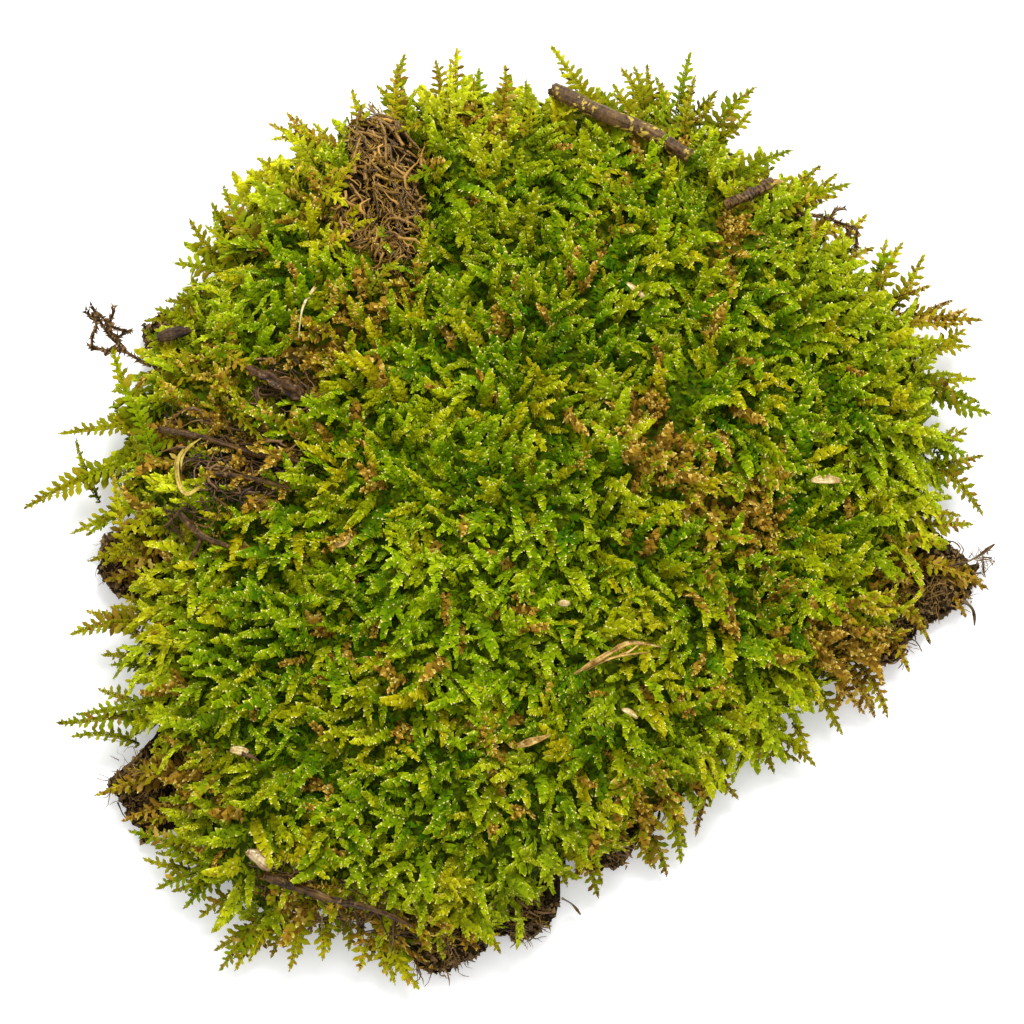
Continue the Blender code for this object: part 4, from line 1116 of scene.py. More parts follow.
edgeShoots = {
    "green": [
        (553, 42, 594, 100, 10.5, 3.6), (25, 507, 100, 475, 5.0, 4.0), (62, 433, 138, 418, 7.5, 3.4),
        (112, 352, 142, 418, 10.0, 4.2), (75, 443, 92, 486, 6.0, 2.4), (113, 405, 128, 424, 7.0, 2.4),
        (74, 532, 110, 510, 4.5, 3.0), (144, 331, 165, 350, 8.0, 3.0), (177, 309, 202, 315, 8.0, 2.6),
        (185, 290, 204, 302, 8.4, 2.4), (176, 262, 212, 268, 9.0, 3.6), (189, 221, 215, 252, 9.0, 3.6),
        (211, 204, 224, 232, 9.0, 2.8), (222, 187, 254, 235, 9.5, 4.0), (402, 51, 398, 104, 8.5, 3.4),
        (377, 82, 402, 104, 8.0, 2.6), (435, 57, 440, 90, 8.6, 3.0), (505, 62, 500, 104, 8.5, 3.2),
        (526, 78, 524, 110, 9.0, 3.0), (478, 66, 480, 98, 8.8, 3.0), (649, 62, 656, 98, 8.0, 2.8),
        (692, 49, 682, 98, 8.5, 3.0), (717, 88, 700, 104, 8.2, 3.0), (755, 84, 722, 122, 8.0, 4.2),
        (752, 108, 728, 128, 8.0, 3.0), (791, 147, 745, 172, 8.0, 3.2), (822, 163, 795, 192, 7.0, 3.0),
        (990, 412, 944, 394, 6.0, 3.6), (975, 378, 940, 382, 6.2, 2.8), (965, 430, 948, 444, 5.8, 2.8),
        (982, 456, 944, 462, 4.8, 3.0), (982, 511, 948, 474, 4.5, 3.2), (970, 345, 926, 352, 6.0, 3.4),
        (970, 524, 932, 524, 4.5, 3.4), (75, 633, 128, 625, 5.0, 4.0), (105, 613, 132, 618, 5.0, 2.6),
        (125, 597, 146, 602, 5.0, 2.6), (93, 560, 130, 540, 6.4, 3.0), (103, 690, 130, 697, 5.0, 2.6),
        (63, 722, 122, 711, 5.5, 3.4), (77, 735, 124, 740, 5.0, 2.8), (107, 655, 132, 655, 5.0, 2.6),
        (135, 830, 185, 853, 4.0, 3.6), (150, 858, 184, 864, 3.6, 2.8), (162, 885, 192, 872, 3.4, 3.0),
        (190, 902, 216, 876, 3.4, 3.4), (205, 912, 230, 890, 3.2, 3.0), (225, 963, 250, 925, 3.0, 3.6),
        (220, 945, 246, 925, 3.0, 2.8), (258, 948, 268, 922, 3.0, 3.0), (275, 950, 284, 922, 3.0, 3.0),
        (812, 762, 776, 734, 2.6, 3.2), (840, 730, 822, 692, 2.8, 3.2), (772, 768, 756, 732, 2.6, 3.2),
        (735, 795, 718, 766, 2.6, 3.0), (680, 857, 672, 822, 2.6, 3.0), (665, 869, 652, 836, 2.4, 3.6),
        (650, 862, 644, 836, 2.4, 2.6), (597, 891, 586, 858, 2.6, 3.2), (566, 880, 560, 856, 2.6, 3.0),
        (625, 65, 640, 98, 8.0, 3.4), (637, 63, 644, 98, 8.2, 3.0), (850, 181, 792, 197, 8.0, 3.6),
        (838, 172, 800, 200, 7.6, 3.2), (604, 88, 624, 114, 8.2, 3.0), (616, 81, 634, 112, 8.2, 3.2),
        (592, 92, 612, 118, 8.2, 2.8), (664, 80, 664, 112, 8.0, 3.0), (836, 212, 808, 232, 7.6, 3.0),
        (860, 234, 830, 246, 7.4, 3.2), (874, 246, 846, 258, 7.2, 3.0), (147, 320, 182, 318, 10.6, 2.4),
        (158, 309, 192, 315, 10.8, 2.8), (168, 300, 196, 308, 10.0, 2.6), (351, 942, 352, 910, 3.2, 3.2),
        (386, 960, 390, 928, 3.2, 3.4), (406, 966, 404, 936, 3.2, 3.2), (331, 938, 334, 906, 3.2, 3.2),
    ],
    "yellow": [
        (247, 170, 270, 190, 9.0, 3.0), (257, 156, 284, 172, 9.0, 3.0), (270, 121, 322, 142, 9.0, 3.2),
        (286, 110, 300, 134, 9.0, 2.0), (272, 135, 300, 138, 9.0, 2.0), (313, 121, 326, 142, 9.0, 2.4),
        (351, 88, 362, 122, 8.5, 3.0), (456, 44, 455, 84, 9.0, 3.2), (418, 982, 398, 948, 3.4, 3.4),
        (395, 975, 388, 945, 3.2, 3.0), (362, 963, 372, 934, 3.0, 3.4), (325, 952, 322, 924, 3.0, 3.2),
        (293, 962, 298, 922, 3.0, 3.6), (240, 962, 258, 930, 3.0, 3.0), (499, 946, 486, 920, 3.0, 3.0),
        (612, 856, 606, 836, 2.6, 2.6), (90, 612, 128, 622, 5.2, 2.4), (889, 241, 884, 272, 7.4, 2.8),
        (904, 243, 888, 280, 7.0, 3.4), (926, 256, 902, 296, 7.0, 3.4), (868, 214, 846, 236, 7.6, 3.0),
    ],
    "brown": [
        (981, 318, 922, 312, 6.5, 3.4), (930, 285, 906, 292, 7.0, 2.2), (953, 300, 930, 312, 6.6, 1.8),
        (984, 586, 940, 572, 4.2, 3.6), (918, 622, 896, 596, 4.2, 3.0), (112, 560, 146, 552, 6.4, 3.4),
        (134, 574, 152, 552, 6.0, 3.0), (118, 786, 160, 776, 6.4, 3.8), (134, 768, 176, 770, 7.0, 3.8),
        (160, 806, 196, 794, 6.0, 3.4), (436, 960, 424, 930, 3.0, 3.0), (458, 952, 446, 926, 3.0, 3.0),
        (530, 926, 520, 900, 3.0, 3.0), (408, 956, 404, 930, 3.0, 2.8), (968, 308, 945, 316, 6.6, 1.8),
        (103, 792, 146, 772, 6.3, 3.0), (886, 712, 862, 672, 3.0, 3.2), (873, 713, 856, 684, 3.0, 3.0),
        (929, 640, 902, 606, 3.6, 2.6), (908, 668, 888, 636, 3.4, 2.6), (965, 614, 950, 582, 3.0, 2.4),
        (980, 580, 958, 572, 4.0, 2.4), (696, 830, 706, 792, 2.6, 2.2), (108, 580, 140, 566, 4.6, 3.0),
        (112, 548, 138, 544, 5.6, 2.6), (128, 818, 166, 802, 4.0, 2.8), (150, 828, 178, 812, 3.8, 2.6),
        (850, 222, 818, 228, 7.8, 3.0), (340, 926, 344, 898, 3.6, 3.0), (361, 932, 366, 884, 5.0, 3.2),
        (381, 938, 384, 910, 3.6, 3.2), (313, 926, 316, 896, 3.6, 3.0), (399, 946, 406, 896, 5.0, 3.2),
    ],
}
# Each shoot is a narrow blade of small leaves, with lobes that stand off it to both sides.
bladeLook = {
    "leaf": "scale",
    "pitch": 0.40 * mm,
    "leafLength": 0.74 * mm,
    "sideAngle": math.radians(38),
    "disorder": 0.16,
    "taper": 0.30,
    "taperBend": 2.0,
    "lift": 0.12,
    "backLeaves": False,
    "stemPoints": 8,
    "stemRadius": 0.15 * mm,
}
lobeLook = {
    "leaf": "lobe",
    "pitch": 1.12 * mm,
    "leafLength": 1.0 * mm,
    "sideAngle": math.radians(64),
    "disorder": 0.20,
    "taper": 0.80,
    "taperBend": 2.3,
    "lift": 0.16,
    "backLeaves": False,
    "stemPoints": 2,
    "stemRadius": 0.04 * mm,
}
shootShape = {
    "arch": 0.10,                   # how far the stem bows up, for each millimetre of its length
    "stray": 0.07,                  # how far it bows to a side
    "points": 9,
    "lobeShare": 0.66,              # the length of a lobe for each millimetre of the shoot's width
    "bladeShare": (0.8, 0.08),      # the size of the blade's leaves, and how much they grow with the width
    "inward": 0.35,                 # how far the foot goes on under the moss, as a share of the shoot
    "steepest": 3 * mm,             # how much higher than the tip the foot may be
    "rooted": 1 * mm,               # how deep it stands in the moss
    "lowest": 1.2 * mm,
    "siblings": 0.55,               # how many shoots have a shorter one beside them
    "spare": (0.25, 0.45),          # how much shorter that one is
    "siblingWidth": 0.85,
    "siblingLift": 0.3,             # millimetres
    "beside": 10,                   # pixels
}
# Shoots that lie over the moss near its edge: a pixel, a radius and how many.
laidZones = [
    (190, 400, 48, 6), (160, 480, 42, 5), (210, 300, 48, 6), (250, 240, 42, 5), (150, 640, 42, 6),
    (125, 715, 36, 4), (190, 860, 42, 8), (250, 905, 42, 7), (330, 925, 40, 5), (450, 95, 38, 4),
    (620, 110, 46, 5), (730, 140, 42, 5), (800, 205, 38, 4), (890, 290, 42, 6), (935, 380, 34, 5),
    (945, 470, 34, 5), (925, 530, 34, 4), (870, 650, 36, 4), (780, 725, 38, 4), (700, 790, 38, 4),
    (610, 840, 28, 3), (290, 160, 36, 5), (338, 190, 20, 4),
]
laidLook = {
    "length": (26, 46),             # pixels
    "width": (2.4, 3.4),            # millimetres
    "over": (0.6, 1.5),             # millimetres over the solid
    "turn": 0.7,
    "within": 1.5 * mm,             # how far inside the solid's edge it ends
    "shortest": 2 * mm,
    "rooted": 1.2 * mm,
}
# Single shoots that lie where the picture has them: pixels of the tip and the foot, how far over the
# solid in millimetres, the width, and which traits they take.
laidShoots = [
    (357, 158, 322, 214, 2.0, 2.8, "yellow"), (345, 206, 316, 188, 1.6, 2.6, "yellow"),
    (352, 232, 318, 250, 1.5, 2.6, "yellow"), (372, 222, 340, 240, 1.4, 2.2, "yellow"),
    (396, 264, 372, 292, 1.4, 2.6, "green"), (418, 222, 448, 240, 1.3, 2.6, "green"),
    (410, 182, 442, 168, 1.5, 2.6, "green"), (402, 130, 432, 122, 1.4, 2.4, "yellow"),
    (362, 116, 344, 128, 1.4, 2.4, "brown"), (396, 108, 382, 128, 1.4, 2.4, "brown"),
    (128, 463, 182, 436, 1.8, 3.4, "yellow"), (114, 481, 136, 572, 1.8, 3.6, "yellow"),
    (655, 137, 706, 118, 1.8, 3.6, "green"), (640, 158, 664, 176, 1.2, 2.6, "green"),
    (152, 402, 206, 352, 1.6, 3.8, "green"), (264, 383, 216, 348, 1.4, 2.8, "yellow"),
    (262, 440, 224, 402, 1.2, 2.6, "green"), (300, 432, 268, 420, 1.2, 2.6, "green"),
]
shootTraits = {
    "green": {"tint": (0.4, 1.0), "bright": (0.0, 0.4), "yellow": (0.05, 0.45), "dead": (0.05, 0.42),
              "dim": (0.25, 0.62)},
    "yellow": {"tint": (0.7, 1.0), "bright": (0.0, 0.5), "yellow": (0.3, 0.85), "dead": (0.12, 0.48),
               "dim": (0.05, 0.35)},
    "brown": {"tint": (0.6, 1.0), "bright": (0.0, 0.2), "yellow": (0.2, 0.6), "dead": (0.5, 0.9),
              "dim": (0.1, 0.5)},
}


def drawTraits(chance, kind):
    return {name: chance.uniform(*span) for name, span in shootTraits[kind].items()}


def growShoot(tip, foot, chance):
    # The stem bows up and to one side.
    run = tip - foot
    side = run.cross(above).normalized()
    bow = side * (chance.uniform(-1, 1) * shootShape["stray"]) + above * shootShape["arch"]
    return [foot + run * t + bow * (run.length * math.sin(math.pi * t)) for t in shares(shootShape["points"])]


def makeEdgeShoots():
    chance = random.Random(17)
    shape = shootShape
    whole = 1 + shape["inward"]
    lobes, blades = [], []

    def addShoot(tip, foot, width, traits):
        stem = growShoot(tip, foot, chance)
        traits = dict(traits, along=shares(len(stem)))
        least, more = shape["bladeShare"]
        lobes.append((stem, {"size": width * shape["lobeShare"], **traits}))
        blades.append((stem, {"size": least + more * width, **traits}))

    for kind, entries in edgeShoots.items():
        for tipX, tipY, footX, footY, height, width in entries:
            runX, runY = footX - tipX, footY - tipY
            run = math.hypot(runX, runY)
            places = [(tipX, tipY, height, width)]
            if chance.random() < shape["siblings"]:
                back = chance.uniform(*shape["spare"])
                aside = chance.choice((-1, 1)) * shape["beside"] * chance.uniform(0.5, 1)
                places.append((tipX + runX * back - runY / run * aside, tipY + runY * back + runX / run * aside,
                               height + shape["siblingLift"], width * shape["siblingWidth"]))
            for x, y, tall, wide in places:
                tip = spot(x, y, tall * mm)
                foot = surfaceAt(x + runX * whole, y + runY * whole, mossSolid)
                foot.z = max(min(foot.z, tip.z + shape["steepest"]) - shape["rooted"], shape["lowest"])
                addShoot(tip, foot, wide, drawTraits(chance, kind))
    for tipX, tipY, footX, footY, over, width, kind in laidShoots:
        tip, foot = surfaceAt(tipX, tipY) + Vector((0, 0, over * mm)), surfaceAt(footX, footY)
        addShoot(tip, foot, width, drawTraits(chance, kind))
    for middleX, middleY, radius, count in laidZones:
        for _ in range(count):
            layShoot(middleX, middleY, radius, chance, addShoot)
    for name, lines, look in (("edgeLobes", lobes, lobeLook), ("edgeBlades", blades, bladeLook)):
        addGrown(name, dressLines(lines, look["leaf"], look, 3))


def layShoot(middleX, middleY, radius, chance, addShoot):
    turn, away = chance.uniform(0, 2 * math.pi), radius * math.sqrt(chance.random())
    foot = surfaceAt(middleX + away * math.cos(turn), middleY + away * math.sin(turn), mossSolid)
    heading = math.atan2(foot.y - heart.y, foot.x - heart.x) + chance.uniform(-1, 1) * laidLook["turn"]
    length = chance.uniform(*laidLook["length"]) * photo["pixel"]
    ahead = Vector((math.cos(heading), math.sin(heading), 0))
    # It gets shorter until its tip lies well over the moss.
    beyond = foot + ahead * (length + laidLook["within"])
    while topAt(mossSolid, beyond.x, beyond.y) is None and length > 0:
        length -= 0.5 * mm
        beyond = foot + ahead * (length + laidLook["within"])
    if length < laidLook["shortest"]:
        return
    tip = foot + ahead * length
    ground = topAt(mossSolid, tip.x, tip.y)
    over = chance.uniform(*laidLook["over"]) * mm
    tip.z = (ground if ground is not None else foot.z) + over
    foot.z += over - laidLook["rooted"]
    traits = {name: traitAt(name, foot) for name in ("bright", "yellow", "dead")}
    traits["yellow"] = max(traits["yellow"], chance.uniform(0.0, 0.4))
    traits["dead"] *= chance.uniform(0.2, 1)
    traits.update(tint=chance.uniform(0.3, 1), dim=chance.uniform(0.0, 0.4))
    addShoot(tip, foot, chance.uniform(*laidLook["width"]), traits)


makeEdgeShoots()


# Soil: the solid's own form, broken up, with crumbs wherever the moss leaves it open. Each rough solid
# is its node's mesh, cut finer, smoothed and roughened, but flat below.

roughSolids = {
    "soil": {"cuts": 4, "amount": 1.3 * mm, "scale": 620},
    "root_tangle": {"cuts": 2, "amount": 0.7 * mm, "scale": 500},
}
flatBelow = 0.15 * mm


def refineSolid(name):
    look = roughSolids[name]
    bm = bmesh.new()
    bm.from_mesh(frame["nodes"][name].data)
    bmesh.ops.remove_doubles(bm, verts=bm.verts, dist=0.01 * mm)
    bmesh.ops.subdivide_edges(bm, edges=bm.edges, cuts=look["cuts"], use_grid_fill=True)
    for _ in range(2):
        bmesh.ops.smooth_vert(bm, verts=[vertex for vertex in bm.verts if vertex.co.z > flatBelow], factor=0.5)
    for vertex in bm.verts:
        if vertex.co.z > flatBelow:
            shift = noise.noise_vector(vertex.co * look["scale"]) * look["amount"]
            shift += noise.noise_vector(vertex.co * look["scale"] * 2.7) * look["amount"] * 0.5
            vertex.co += shift
            vertex.co.z = max(vertex.co.z, flatBelow)
    bmesh.ops.recalc_face_normals(bm, faces=bm.faces)
    mesh = meshFrom(bm, name)
    mesh.materials.clear()
    mesh.materials.append(brown["soil"])
    return mesh


crumbKinds = {"count": 5, "stray": 0.35, "size": (0.7, 1.2)}
crumbLook = {
    "Spacing": 0.36 * mm,
    "Density": 4000000.0,
    "Smallest": 0.16 * mm,
    "Largest": 0.62 * mm,
    "Few Large": 2.5,               # the higher, the fewer large ones
    "Seed": 8,
}


def makeCrumbs():
    collection = openCollection("crumbs")
    chance = random.Random(3)
    stray = crumbKinds["stray"]
    for number in range(crumbKinds["count"]):
        bm = bmesh.new()
        ends = []
        for axis in ((1, 0, 0), (0, 1, 0), (-1, 0, 0), (0, -1, 0), (0, 0, 1), (0, 0, -1)):
            place = Vector(axis) + Vector([chance.uniform(-stray, stray) for _ in range(3)])
            ends.append(bm.verts.new(place * chance.uniform(*crumbKinds["size"])))
        for k in range(4):
            bm.faces.new((ends[k], ends[(k + 1) % 4], ends[4]))
            bm.faces.new((ends[(k + 1) % 4], ends[k], ends[5]))
        collection.objects.link(bpy.data.objects.new("crumb%d" % number, meshFrom(bm, "crumb")))
    return collection


def makeCrumbTree():
    tree, give, out = newTree("soilCrumbs", Collection="Crumbs", Int="Seed", Material="Finish",
                              Float="Spacing, Density, Smallest, Largest, Few Large")
    strewn = strew(tree, give, named(tree, "open"))
    size = calc(tree, "POWER", anyValue(tree, 0.0, 1.0, 2), give["Few Large"])
    size = spread(tree, size, 0.0, 1.0, give["Smallest"], give["Largest"])
    spin = anyValue(tree, (0, 0, 0), (6.3, 6.3, 6.3), 3, "FLOAT_VECTOR")
    kind = anyValue(tree, 0, crumbKinds["count"] - 1, 4, "INT")
    grown = setOut(tree, strewn["Points"], childrenOf(tree, give["Crumbs"]), spin, size, kind=kind)
    endTree(tree, out, keep(tree, grown, "leafShade", anyValue(tree, 0.0, 1.0, 5)), give["Finish"])
    return tree


def makeSoil():
    mesh = refineSolid("soil")
    opened = []
    for vertex in mesh.vertices:
        covered = mossSolid.ray_cast(vertex.co + above * (0.3 * mm), above)[0]
        opened.append(0.0 if covered is not None or vertex.co.z < 0.2 * mm else 1.0)
    setFloats(mesh, "open", opened)
    collection = makeCrumbs()
    crumbs = runTree(makeCrumbTree(), mesh.copy(), dict(crumbLook, Crumbs=collection, Finish=brown["crumb"]))
    dropCollection(collection)
    holdInside(mesh, onFloor=True)
    addPiece("soilGround", mesh, ("soil",))
    addGrown("soilCrumbs", crumbs, mapped=False)


makeSoil()
print("soil made")


# Strands: roots, old stems and fibres, each a tube whose width its points carry.

def makeStrandTree():
    tree, give, out = newTree("strands", Int="Sides", Material="Finish")
    curve = put(tree, "GeometryNodeMeshToCurve", {"Mesh": give["Geometry"]}).outputs[0]
    endTree(tree, out, tube(tree, curve, give["Sides"], 1.0, named(tree, "girth")), give["Finish"])
    return tree


# Where fibres lie: pixels across and down with a radius, how many, which way they run (degrees), how
# much they turn at each step, how thick they are and how high over the ground (millimetres). Leafy is
# how many of them still have dead leaves.
fibreSpots = {
    "tangleUpper": {
        "spots": [(374, 128, 26), (384, 148, 30), (392, 170, 32), (366, 166, 26), (398, 192, 22)],
        "count": 230, "heading": -54, "scatter": 34, "curl": 11, "steps": (4, 10), "girth": (0.10, 0.36),
        "over": (-1.0, 1.5), "leash": 1.15, "finish": "oldStem",
    },
    "tangleLower": {
        "spots": [(366, 212, 30), (384, 232, 34), (404, 236, 24), (352, 232, 22), (392, 254, 20),
                  (404, 206, 18)],
        "count": 290, "heading": 0, "scatter": 180, "curl": 46, "steps": (3, 7), "girth": (0.10, 0.32),
        "over": (-1.0, 1.3), "leash": 1.15, "finish": "oldStem",
    },
    "leftFibres": {
        "spots": [(196, 440, 28), (235, 452, 28), (278, 466, 26), (220, 482, 22), (195, 520, 22),
                  (250, 492, 20)],
        "count": 160, "heading": -12, "scatter": 34, "curl": 24, "steps": (5, 11), "girth": (0.10, 0.28),
        "over": (-0.6, 1.2), "leash": 1.3, "finish": "darkStem",
    },
    "hollowFibres": {
        "spots": [(290, 384, 22), (268, 376, 16), (300, 400, 16), (270, 404, 16)],
        "count": 90, "heading": -28, "scatter": 60, "curl": 40, "steps": (4, 8), "girth": (0.12, 0.28),
        "over": (-1.2, 0.9), "leash": 1.2, "finish": "darkStem",
    },
    "frontFibres": {
        "spots": [(292, 882, 22), (335, 896, 24), (385, 912, 24), (425, 930, 22), (452, 938, 20),
                  (520, 915, 20), (612, 842, 14), (270, 872, 18)],
        "count": 170, "heading": -16, "scatter": 36, "curl": 20, "steps": (6, 13), "girth": (0.08, 0.24),
        "over": (-0.2, 1.3), "leash": 1.3, "finish": "darkStem",
    },
    "soilFibres": {
        "spots": [(120, 556, 26), (140, 780, 30), (150, 800, 18), (950, 578, 30), (925, 592, 26),
                  (898, 640, 22), (985, 560, 10), (440, 950, 26), (524, 916, 20)],
        "count": 330, "heading": 0, "scatter": 180, "curl": 42, "steps": (4, 9), "girth": (0.04, 0.13),
        "over": (-0.4, 0.9), "leash": 1.25, "finish": "rootlet", "leafy": 0.02,
    },
}
fibreStep = 0.85 * mm
fibreKink = {"share": 0.16, "turn": math.radians(55)}
fibreCourse = {
    "ease": 0.55,                   # how much of the way to the ground's height it takes in one step
    "fall": 1.2 * mm,               # how far it falls in one step where there is no ground
    "lowest": (0.6 * mm, 0.35 * mm),
    "wander": 0.25 * mm,
    "thin": 0.6,                    # how much thinner its end is
    "uneven": (0.7, 1.3),
    "sides": 5,
}
deadLeafLook = {"pitch": 0.7 * mm, "leafLength": 1.0 * mm, "lift": 0.8}
tangleSunk = 1.1 * mm               # lets the moss round the tangle lap over the edge of its dark core


def strewFibres(look, chance):
    lines = []
    course = fibreCourse
    for _ in range(look["count"]):
        middleX, middleY, radius = chance.choice(look["spots"])
        turn, away = chance.uniform(0, 2 * math.pi), radius * math.sqrt(chance.random())
        point = surfaceAt(middleX + away * math.cos(turn), middleY + away * math.sin(turn))
        heading = math.radians(look["heading"] + chance.uniform(-1, 1) * look["scatter"])
        if chance.random() < 0.5:
            heading += math.pi
        first = chance.uniform(*look["over"])
        over = first * mm
        drift = chance.uniform(-1, 1)
        line = []
        height = point.z
        for _ in range(chance.randint(*look["steps"])):
            ground = topAt(groundSolid, point.x, point.y)
            if ground is None:
                ground = max(height - course["fall"], course["lowest"][0])
            height = height * (1 - course["ease"]) + (ground + over) * course["ease"]
            line.append(Vector((point.x, point.y, max(height, course["lowest"][1]))))
            across, down = pixelOf(line[-1])
            if math.hypot(across - middleX, down - middleY) > radius * look["leash"]:
                break
            heading += math.radians(look["curl"]) * (chance.uniform(-1, 1) + 0.5 * drift)
            if chance.random() < fibreKink["share"]:
                heading += chance.uniform(-1, 1) * fibreKink["turn"]
            over += chance.uniform(-1, 1) * course["wander"]
            point = point + Vector((math.cos(heading), math.sin(heading), 0)) * fibreStep
        if len(line) < 3:
            continue
        low, high = look["girth"]
        thick = (low + (high - low) * chance.random() ** 1.6) * mm
        girth = [thick * (1 - course["thin"] * t * t) * chance.uniform(*course["uneven"])
                 for t in shares(len(line))]
        # Painted shade: strands that lie deep are darker, as in the shade of those over them.
        depth = (first - look["over"][0]) / (look["over"][1] - look["over"][0])
        lines.append((line, {"girth": girth, "leafShade": chance.random() ** 1.1 * (0.3 + 0.7 * depth)}))
        if chance.random() < look.get("leafy", 0.08):
            leafyLines.append((line, {"along": 0.3, "size": chance.uniform(0.6, 1.0), "dead": 1.2}))
    return runTree(strands, makeLines(lines), {"Sides": course["sides"], "Finish": brown[look["finish"]]})


strands = makeStrandTree()
chance = random.Random(29)
leafyLines = []                     # the fibres with dead leaves
for name, look in fibreSpots.items():
    addGrown(name, strewFibres(look, chance), smooth=True, mapped=False)
addGrown("deadLeaves", dressLines(leafyLines, "shrunk", {**bladeLook, **deadLeafLook}, 60, 4.0))

# Painted shade: the tangle's solid, sunk and in the soil's dark colour, is partly its own old stems and partly
# the shade deep between the strands.
tangleCore = refineSolid("root_tangle")
for vertex in tangleCore.vertices:
    vertex.co.z = max(vertex.co.z - tangleSunk, 1 * mm)
addPiece("tangleCore", tangleCore, ("root_tangle",))
print("fibres made")


# Sprigs: dead shoots that keep some of their leaves. Each line is a row of pixels with heights.

sprigs = {
    "deadSprig": {"node": "dead_sprig", "leaf": 0.85, "along": 0.12, "lines": [
        [(103, 355, 9.2), (112, 347, 9.4), (122, 351, 9.6)],
        [(104, 322, 9.6), (113, 327, 9.8), (127, 331, 10.0)],
        [(90, 312, 9.4), (95, 322, 9.5), (91, 334, 9.2), (90, 345, 8.9)],
        [(96, 312, 9.6), (104, 320, 9.9), (110, 332, 9.9), (122, 346, 9.9)],
        [(150, 366, 10.0), (124, 351, 9.6), (104, 330, 9.4), (90, 306, 9.6)],
        [(104, 330, 9.4), (110, 316, 9.6), (112, 307, 9.8)],
        [(122, 350, 9.6), (104, 350, 9.2), (88, 345, 8.8)],
        [(112, 340, 9.5), (120, 334, 9.8), (128, 330, 10.0)],
        [(98, 320, 9.5), (90, 318, 9.4), (85, 311, 9.4)],
    ]},
    "deadShoot": {"node": "dead_shoot", "leaf": 0.8, "along": 0.12, "lines": [
        [(790, 210, 9.5), (822, 214, 9.4), (850, 224, 9.0), (853, 241, 8.6)],
        [(850, 224, 9.0), (860, 228, 9.0), (857, 254, 8.4)],
        [(832, 217, 9.3), (838, 208, 9.5), (846, 206, 9.4)],
    ]},
}
sprigLook = {"pitch": 0.36 * mm, "leafLength": 1.25 * mm, "stemRadius": 0.34 * mm, "lift": 0.8}
sprigDisorder = 3.5


def smoothLine(points, count):
    made = []
    last = len(points) - 1
    for t in shares(count):
        k = min(int(t * last), last - 1)
        share = t * last - k
        before, after = points[max(k - 1, 0)], points[min(k + 2, last)]
        first, second = points[k], points[k + 1]
        made.append(0.5 * (2 * first + (second - before) * share
                           + (2 * before - 5 * first + 4 * second - after) * share ** 2
                           + (3 * first - before - 3 * second + after) * share ** 3))
    return made


def makeSprigs():
    for number, (name, look) in enumerate(sprigs.items()):
        lines = []
        for entry in look["lines"]:
            line = smoothLine([spot(*place[:2], place[2] * mm) for place in entry], 8)
            lines.append((line, {"along": look["along"], "size": look["leaf"], "dead": 1.2, "tint": 0.5}))
        mesh = dressLines(lines, "shrunk", {**bladeLook, **sprigLook}, 90 + number, sprigDisorder)
        mesh.materials.clear()
        mesh.materials.append(brown["deadSprig"])
        spreadBakeMap(mesh)
        addPiece(name, mesh, (look["node"],))


makeSprigs()


# Limbs and chips: one way of making them serves twigs, stems, straws, husks and flakes. A path of pixels,
# half widths in millimetres, how flat the section is, how hollow it is, and how rough. Its finish tells
# the slot.

